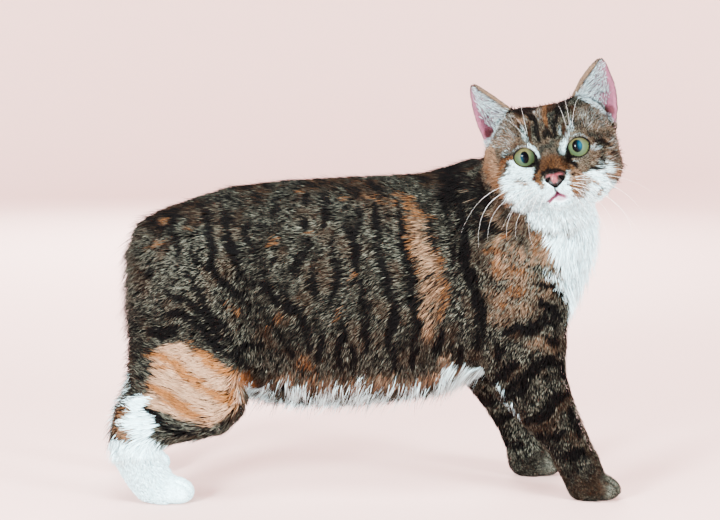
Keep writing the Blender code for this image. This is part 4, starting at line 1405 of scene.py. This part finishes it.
for mark, stops in HAIR.items():
    colour = mixed(fur, stored(fur, mark), colour, colour_ramp(fur, phase, stops))
# Bare skin, in the ears and at the lips: a dark mauve pink, partly the skin's own colour and partly
# painted shade between the hairs inside the ear.
colour = mixed(fur, stored(fur, "pink"), colour, shade("693b4b"))
colour = mixed(fur, stored(fur, "red"), colour, shade("381422"))
light = maths(fur, "MULTIPLY_ADD", tone_value, 0.26, 1.0)
tint = add_node(fur, "ShaderNodeCombineColor")
for socket in tint.inputs[:3]:
    feed(fur, socket, light)
feed(fur, fur_out.inputs[0], mixed(fur, 1.0, colour, tint.outputs[0], "MULTIPLY"))


def new_material(name, values):
    """A material with these values set on its shader, its node tree, and the shader."""
    material = bpy.data.materials.new(name)
    material.use_nodes = True
    shader = material.node_tree.nodes["Principled BSDF"]
    for key, value in values.items():
        shader.inputs[key].default_value = value
    return material, material.node_tree, shader


def texture(tree, kind, values, vector=None):
    node = add_node(tree, "ShaderNodeTex" + kind)
    for key, value in values.items():
        node.inputs[key].default_value = value
    if vector is not None:
        tree.links.new(vector, node.inputs["Vector"])
    return node


def object_places(tree):
    return add_node(tree, "ShaderNodeTexCoord").outputs["Object"]


def relief(tree, shader, height, distance, strength):
    bump = add_node(tree, "ShaderNodeBump")
    bump.inputs["Strength"].default_value = strength
    bump.inputs["Distance"].default_value = distance * MM
    tree.links.new(height, bump.inputs["Height"])
    tree.links.new(bump.outputs[0], shader.inputs["Normal"])


def fur_material(name, bump=0.0):
    """Hair in the shared colours; with bump it is the hide below, grained."""
    material, tree, shader = new_material(name, {"Roughness": 0.75, "Specular IOR Level": 0.04})
    group = add_node(tree, "ShaderNodeGroup", node_tree=fur)
    tree.links.new(group.outputs[0], shader.inputs["Base Color"])
    if bump:
        grain = texture(tree, "Noise", {"Scale": 900}, object_places(tree))
        relief(tree, shader, grain.outputs["Fac"], bump, 1.0)
    return material


coat_material = fur_material("fur")
skin.data.materials.append(fur_material("hide", 0.5))
for name, (mine, axis) in pieces.items():
    chosen_tufts = np.flatnonzero(mine)
    centre = roots[chosen_tufts].mean(0)
    unwrapped = round_head() if axis is None else round_axis(mine, centre, axis)
    coat = piece(name, tuft_mesh(name, chosen_tufts, unwrapped))
    coat.data.materials.append(coat_material)
    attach(coat, "root")

# ==== Eyes: a ball to each side, its iris and pupil painted under a wet clear coat ====
# The cornea swells from the ball. Each point stores how far it lies from the pupil, from the iris's
# middle and along its fibres, for the colours, and how much of the painted teal reflection beside
# the pupil it takes.

PUPIL_AT = {-1: (0.1, -1.05), 1: (-0.4, 0.0)}    # from the middle of the ball
PUPIL_HALF = {-1: (3.1, 4.5), 1: (3.7, 4.6)}
# A painted teal reflection in and beside each pupil: where it lies from the pupil's middle, its
# half size and its strength.
REFLECTION_AT = {-1: (-2.7, -0.9), 1: (2.3, 0.3)}
REFLECTION_HALF = (1.5, 3.0)
REFLECTION_STRENGTH = {-1: 0.4, 1: 0.85}
IRIS_RADIUS = 8.4
CORNEA_SWELL = 1.0
EYE_RINGS = 64
EYE_STEPS = 96


def strips(rings, sides, first=0, inward=False):
    """The four-cornered faces between rings of points, the first of which has this number."""
    faces = []
    for start in range(first, first + (rings - 1) * sides, sides):
        for k in range(sides):
            here, after = start + k, start + (k + 1) % sides
            lower, upper = here + sides, after + sides
            faces.append((here, after, upper, lower) if inward else (here, lower, upper, after))
    return faces


def new_mesh(name, places, faces):
    mesh = bpy.data.meshes.new(name)
    mesh.from_pydata([tuple(place) for place in np.asarray(places) * MM], [], faces)
    return mesh


IRIS_GREEN = [(0.3, "3d432b"), (0.5, "303b26"), (0.72, "263624"), (0.86, "2f3620"),
              (0.95, "080a06")]
IRIS_OLIVE = [(0.3, "3f3c24"), (0.6, "322f1b"), (0.84, "231e12"), (0.94, "080705")]


def eye_material():
    material, tree, shader = new_material("eye", {
        "Roughness": 0.5, "Specular IOR Level": 0.0,
        "Coat Weight": 0.15, "Coat Roughness": 0.02, "Coat IOR": 1.3,
    })
    out = maths(tree, "DIVIDE", stored(tree, "iris"), IRIS_RADIUS)
    fibre = add_node(tree, "ShaderNodeAttribute", attribute_name="fibre").outputs["Vector"]
    grain = texture(tree, "Noise", {"Scale": 5, "Detail": 3}, fibre)
    ripple = maths(tree, "SUBTRACT", grain.outputs["Fac"], 0.5)
    place = maths(tree, "MULTIPLY_ADD", ripple, 0.35, out)
    green, olive = (colour_ramp(tree, place, stops) for stops in (IRIS_GREEN, IRIS_OLIVE))
    colour = mixed(tree, stored(tree, "upper"), green, olive)
    # The painted teal reflection tints the iris beside the pupil and the pupil itself.
    painted_reflection = maths(tree, "MULTIPLY", stored(tree, "painted_reflection"), 0.6)
    colour = mixed(tree, painted_reflection, colour, shade("14464e"))
    hole = colour_ramp(tree, stored(tree, "pupil"), [(0.47, "ffffff"), (0.53, "000000")])
    deep = mixed(tree, stored(tree, "painted_reflection"), shade("020203"), shade("08303f"))
    tree.links.new(mixed(tree, hole, colour, deep), shader.inputs["Base Color"])
    return material


def eyeball(name, middle, side):
    turn = np.arange(EYE_STEPS) * 2 * math.pi / EYE_STEPS
    tilt = math.pi * (np.arange(1, EYE_RINGS) / EYE_RINGS) ** 1.5
    wide = np.sin(tilt)[:, None]
    ring = (wide * np.cos(turn), wide * np.sin(turn), np.cos(tilt)[:, None])
    ring = np.stack(np.broadcast_arrays(*ring), 2).reshape(-1, 3)
    ball = np.concatenate([[(0, 0, 1)], ring, [(0, 0, -1)]]) * EYE_RADIUS
    out = np.hypot(ball[:, 0], ball[:, 1])
    swell = np.clip(1 - (out / IRIS_RADIUS) ** 2, 0, 1) * (ball[:, 2] > 0)
    faces = strips(EYE_RINGS - 1, EYE_STEPS, 1)
    last = 1 + (EYE_RINGS - 2) * EYE_STEPS
    for k in range(EYE_STEPS):
        after = (k + 1) % EYE_STEPS
        faces += [(0, 1 + k, 1 + after), (last + k, len(ball) - 1, last + after)]
    shape = ball + np.array((0, 0, 1)) * (CORNEA_SWELL * swell)[:, None]
    mesh = new_mesh(name, middle + shape @ HEAD, faces)
    flat = ball[:, :2] - PUPIL_AT[side]
    behind = ball[:, 2] < 0
    from_iris = ball[:, :2] - 0.3 * np.array(PUPIL_AT[side])
    store(mesh, "iris", np.where(behind, EYE_RADIUS, np.hypot(*from_iris.T)))
    store(mesh, "pupil", np.where(behind, 9, np.hypot(*(flat / PUPIL_HALF[side]).T) / 2))
    store(mesh, "upper", ramp(ball[:, 1], -1.5, 5.5))
    # The share of the painted teal reflection at each point.
    painted_reflection = REFLECTION_STRENGTH[side] * hump(*((flat - REFLECTION_AT[side]) / REFLECTION_HALF).T)
    store(mesh, "painted_reflection", np.where(behind, 0, painted_reflection))
    layer = mesh.attributes.new("fibre", "FLOAT_VECTOR", "POINT")
    around = flat / (np.hypot(*flat.T)[:, None] + 1e-6)
    fibre = np.column_stack([around * 3, np.hypot(*flat.T) * 0.16 + 10 * side])
    layer.data.foreach_set("vector", fibre.astype(np.float32).ravel())
    return mesh


eye_paint = eye_material()
for side, name, middle in ((-1, "eye_right", EYE_RIGHT), (1, "eye_left", EYE_LEFT)):
    eye = piece("ball_of_" + name, eyeball(name + "_ball", middle, side))
    eye.data.materials.append(eye_paint)
    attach(eye, "root")
    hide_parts(name)

# ==== Nose: pink leather set in the fur, with two deep nostrils either side of a column ====
# It rests on the skin's bed for it and swells from there. The dark in its nostrils is painted
# shade.

LEATHER_STEPS = 96
LEATHER_RINGS = 40
NOSTRIL_AT = (4.7, -20.6)
NOSTRIL_HALF = (2.1, 1.75)


def closed_curve(points, steps):
    """Even steps along a smooth closed curve through the points."""
    points = np.array(points, float)
    before, after, later = (np.roll(points, -shift, 0) for shift in (-1, 1, 2))
    t = np.linspace(0, 1, 16, endpoint=False)[:, None, None]
    square = 2 * before - 5 * points + 4 * after - later
    cube = 3 * points - before - 3 * after + later
    curve = 0.5 * (2 * points + (after - before) * t + square * t ** 2 + cube * t ** 3)
    curve = curve.transpose(1, 0, 2).reshape(-1, 2)
    ahead = np.linalg.norm(np.roll(curve, -1, 0) - curve, axis=1)
    gone = np.concatenate([[0], np.cumsum(ahead)])
    curve = np.concatenate([curve, curve[:1]])
    at = np.linspace(0, gone[-1], steps, endpoint=False)
    return np.stack([np.interp(at, gone, curve[:, k]) for k in (0, 1)], 1)


def on_face(a, b):
    """The place on the skin, in the head's frame, behind a point of the front elevation."""
    hit, _, _, _ = skin_tree.ray_cast(Vector(from_head((a, b, 60))), Vector(-HEAD[2]))
    return to_head(np.array(hit)[None])[0]


def leather():
    far_side = [(-a, b) for a, b in LEATHER_SIDE[-2:0:-1]]
    outline = LEATHER_MIDDLE + closed_curve(LEATHER_SIDE + far_side, LEATHER_STEPS)
    share = np.linspace(0, 1.1, LEATHER_RINGS)[1:]
    flat = (LEATHER_MIDDLE + share[:, None, None] * (outline - LEATHER_MIDDLE)).reshape(-1, 2)
    flat = np.concatenate([[LEATHER_MIDDLE], flat])
    share = np.concatenate([[0], np.repeat(share, LEATHER_STEPS)])
    bed = np.array([on_face(a, b)[2] for a, b in flat])
    a, b = flat.T
    a = a - LEATHER_MIDDLE[0]
    lift = 0.1 + 2.5 * np.clip(1 - share ** 3, 0, 1) - 3.5 * np.clip(share - 1, 0, 1)
    lift -= 0.5 * ramp(-b, 22, 27)
    aside, above = abs(a) - NOSTRIL_AT[0], b - NOSTRIL_AT[1]
    x = aside / NOSTRIL_HALF[0] + 0.15 * above
    y = (above + 0.22 * aside) / NOSTRIL_HALF[1]
    hole = np.exp(-((x * x + y * y) ** 1.6))
    lift -= 3.2 * hole
    lift += 0.35 * hump((b + 17.4) / 1.1) * ramp(-abs(a), -7, -4)
    lift -= 0.45 * hump(a / 0.45) * ramp(-b, 19.5, 21)
    faces = strips(LEATHER_RINGS - 1, LEATHER_STEPS, 1, inward=True)
    faces += [(0, 1 + (k + 1) % LEATHER_STEPS, 1 + k) for k in range(LEATHER_STEPS)]
    mesh = new_mesh("nose_leather", from_head(np.column_stack([flat, bed + lift])), faces)
    # Dark: the rim and lower edge of the leather, its own colour, and painted shade in the sunk
    # nostrils.
    wings = ramp(-b, 18.3, 19.3) * ramp(abs(a) - 0.2 * (b + 20), 2.1, 2.9)
    dark = most(ramp(share, 0.78, 0.92), ramp(hole, 0.25, 0.55), ramp(-b, 23.2, 24.6) + wings)
    store(mesh, "dark", np.clip(dark, 0, 1))
    return mesh


nose_paint, tree, shader = new_material("nose_leather", {
    "Roughness": 0.42, "Subsurface Weight": 0.1, "Subsurface Radius": (0.002, 0.001, 0.0006),
})
place = object_places(tree)
pebbles = texture(tree, "Voronoi", {"Scale": 1500}, place)
relief(tree, shader, maths(tree, "SUBTRACT", 1.0, pebbles.outputs["Distance"]), 0.25, 0.5)
flush = texture(tree, "Noise", {"Scale": 260}, place)
stops = [(0.35, "4a1c22"), (0.5, "57242a"), (0.65, "673034")]
pink = colour_ramp(tree, flush.outputs["Fac"], stops)
colour = mixed(tree, stored(tree, "dark"), pink, shade("120c0b"))
tree.links.new(colour, shader.inputs["Base Color"])
nose = piece("nose_leather", leather())
nose.data.materials.append(nose_paint)
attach(nose, "root")
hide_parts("nose")

# ==== Whiskers: stiff white bristles in four rows on each pad, and a few over each eye ====
# Each is a tapering tube along a curve that leaves the pad outwards and droops.

TUBE_SIDES = 5
WHISKER_RADIUS = 0.085
BROW_RADIUS = 0.055


def tube(points, radius):
    """A closed tube along the points, as places and faces, tapering to its tip."""
    ahead = unit(np.gradient(points, axis=0))
    aside = unit(np.cross(ahead, HEAD[2]))
    over = np.cross(aside, ahead)
    turn = (np.arange(TUBE_SIDES) * 2 * math.pi / TUBE_SIDES)[:, None]
    thick = radius * (1 - np.linspace(0, 0.85, len(points)))[:, None, None]
    ring = points[:, None] + thick * (np.cos(turn) * aside[:, None] + np.sin(turn) * over[:, None])
    last = (len(points) - 1) * TUBE_SIDES
    caps = [tuple(range(TUBE_SIDES))[::-1], tuple(range(last, last + TUBE_SIDES))]
    return ring.reshape(-1, 3), caps + strips(len(points), TUBE_SIDES, inward=True)


# Each by its root, its middle and its tip: out from the middle of the face, and above the eyes.
WHISKERS = {
    -1: [
        ((12, -22), (48, -22), (76, -46)), ((11, -25), (42, -32), (58, -55)),
        ((14, -26), (35, -39), (44, -58)), ((10, -28), (30, -42), (37, -60)),
        ((17, -23), (50, -29), (66, -60)), ((13, -30), (24, -47), (26, -66)),
        ((18, -27), (31, -33), (47, -49)), ((8, -30), (17, -46), (16, -60)),
    ],
    1: [
        ((13, -22), (45, -28), (68, -45)), ((14, -24), (44, -37), (60, -66)),
        ((12, -26), (36, -42), (56, -80)), ((11, -27), (41, -48), (45, -78)),
        ((10, -29), (30, -46), (36, -76)), ((13, -30), (27, -55), (27, -78)),
        ((17, -22), (42, -21), (62, -31)), ((8, -30), (18, -47), (20, -64)),
    ],
}
BROWS = {
    -1: [
        ((15, 15), (15, 31), (15, 43)), ((16, 15), (18, 24), (25, 32)),
        ((18, 14), (23, 24), (31, 31)),
    ],
    1: [
        ((16, 15), (17, 30), (15, 41)), ((18, 15), (22, 26), (26, 33)),
        ((14, 14), (13, 25), (11, 33)),
    ],
}


def bristle(root, middle, tip, side, forward, back):
    """A curve from the skin through the middle to the tip, that stands forward and falls back."""
    start = on_face(root[0] * side, root[1])
    centre = np.array((middle[0] * side, middle[1], start[2] * 0.35 + forward))
    end = np.array((tip[0] * side, tip[1], start[2] * 0.2 - back))
    bend = 2 * centre - (start + end) / 2
    t = np.linspace(-0.04, 1, 18)[:, None]
    return from_head((1 - t) ** 2 * start + 2 * t * (1 - t) * bend + t ** 2 * end)


tubes = []
for side in (-1, 1):
    for root, middle, tip in WHISKERS[side]:
        tubes.append(tube(bristle(root, middle, tip, side, 4, 14), WHISKER_RADIUS))
    for root, middle, tip in BROWS[side]:
        tubes.append(tube(bristle(root, middle, tip, side, 7, -8), BROW_RADIUS))
places, faces = [], []
for points, sides in tubes:
    faces += [tuple(k + sum(map(len, places)) for k in face) for face in sides]
    places.append(points)
whiskers = piece("whiskers", new_mesh("whiskers", np.concatenate(places), faces))
horn, tree, shader = new_material("whisker", {"Roughness": 0.35, "Specular IOR Level": 0.6})
streak = texture(tree, "Noise", {"Scale": 60}, object_places(tree))
white = colour_ramp(tree, streak.outputs["Fac"], [(0.3, "d8d6d0"), (0.7, "f8f8f6")])
tree.links.new(white, shader.inputs["Base Color"])
whiskers.data.materials.append(horn)
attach(whiskers, "root")

# ==== The floor, the light and the camera ====
# A round sheet of pale cloth that bends up into a wall, soft lamps, and a camera that looks along
# the side elevation.

STAGE_FLAT = 2100               # radius of the flat floor, and of the bend from it up to the wall
STAGE_BEND = 1000
STAGE_HEIGHT = 3600
STAGE_SIDES = 96
BEND_STEPS = 16
profile = [(10, 0), (STAGE_FLAT, 0)]
for step in range(1, BEND_STEPS + 1):
    angle = math.pi / 2 * step / BEND_STEPS
    bend = (STAGE_FLAT + STAGE_BEND * math.sin(angle), STAGE_BEND * (1 - math.cos(angle)))
    profile.append(bend)
profile.append((STAGE_FLAT + STAGE_BEND, STAGE_HEIGHT))
turns = [2 * math.pi * side / STAGE_SIDES for side in range(STAGE_SIDES)]
bowl = [(out * math.cos(turn), out * math.sin(turn), up) for out, up in profile for turn in turns]
bowl_faces = strips(len(profile), STAGE_SIDES) + [tuple(range(STAGE_SIDES))]
floor = piece("floor", new_mesh("floor", bowl, bowl_faces))
cloth, tree, shader = new_material("cloth", {"Roughness": 0.95})
weave = texture(tree, "Noise", {"Scale": 3, "Detail": 6})
colour = colour_ramp(tree, weave.outputs["Fac"], [(0.3, "d8aea6"), (0.7, "dcb6ae")])
tree.links.new(colour, shader.inputs["Base Color"])
floor.data.materials.append(cloth)

camera_data = bpy.data.cameras.new("camera")
camera_data.lens = 111.35
camera_data.sensor_width = 36
camera_data.clip_start = 0.05
camera = bpy.data.objects.new("camera", camera_data)
bpy.context.scene.collection.objects.link(camera)
away = Vector((0, -math.cos(VIEW_RISE), math.sin(VIEW_RISE)))
camera.location = (VIEW_AT + away * VIEW_AWAY) * MM
camera.rotation_euler = (math.pi / 2 - VIEW_RISE, 0, 0)
bpy.context.scene.camera = camera

world = bpy.data.worlds.new("studio")
world.use_nodes = True
sky = world.node_tree.nodes["Background"]
sky.inputs["Color"].default_value = (1, 0.97, 0.97, 1)
sky.inputs["Strength"].default_value = 0.45
bpy.context.scene.world = world


def lamp(name, place, size, watts, aim=(0, 0, 0.17), mirrored=False):
    data = bpy.data.lights.new(name, "AREA")
    data.color = (0.88, 0.98, 1.0)
    data.size = size
    data.energy = watts
    light = bpy.data.objects.new(name, data)
    light.location = place
    light.visible_glossy = mirrored
    light.visible_camera = False
    light.rotation_euler = (Vector(aim) - Vector(place)).to_track_quat("-Z", "Y").to_euler()
    bpy.context.scene.collection.objects.link(light)


lamp("key", (-0.95, -1.47, 0.52), 0.38, 255, mirrored=True)
lamp("top", (-0.25, -0.7, 1.85), 0.8, 110)
lamp("fill", (1.5, -1.3, 0.45), 0.5, 235)
lamp("rear", (-0.2, 1.7, 1.0), 1.0, 120)
lamp("backdrop_left", (-1.5, 1.3, 1.5), 0.8, 68, (0.2, 3.0, 0.9))
lamp("backdrop_right", (1.5, 1.3, 1.5), 0.8, 68, (-0.2, 3.0, 0.9))
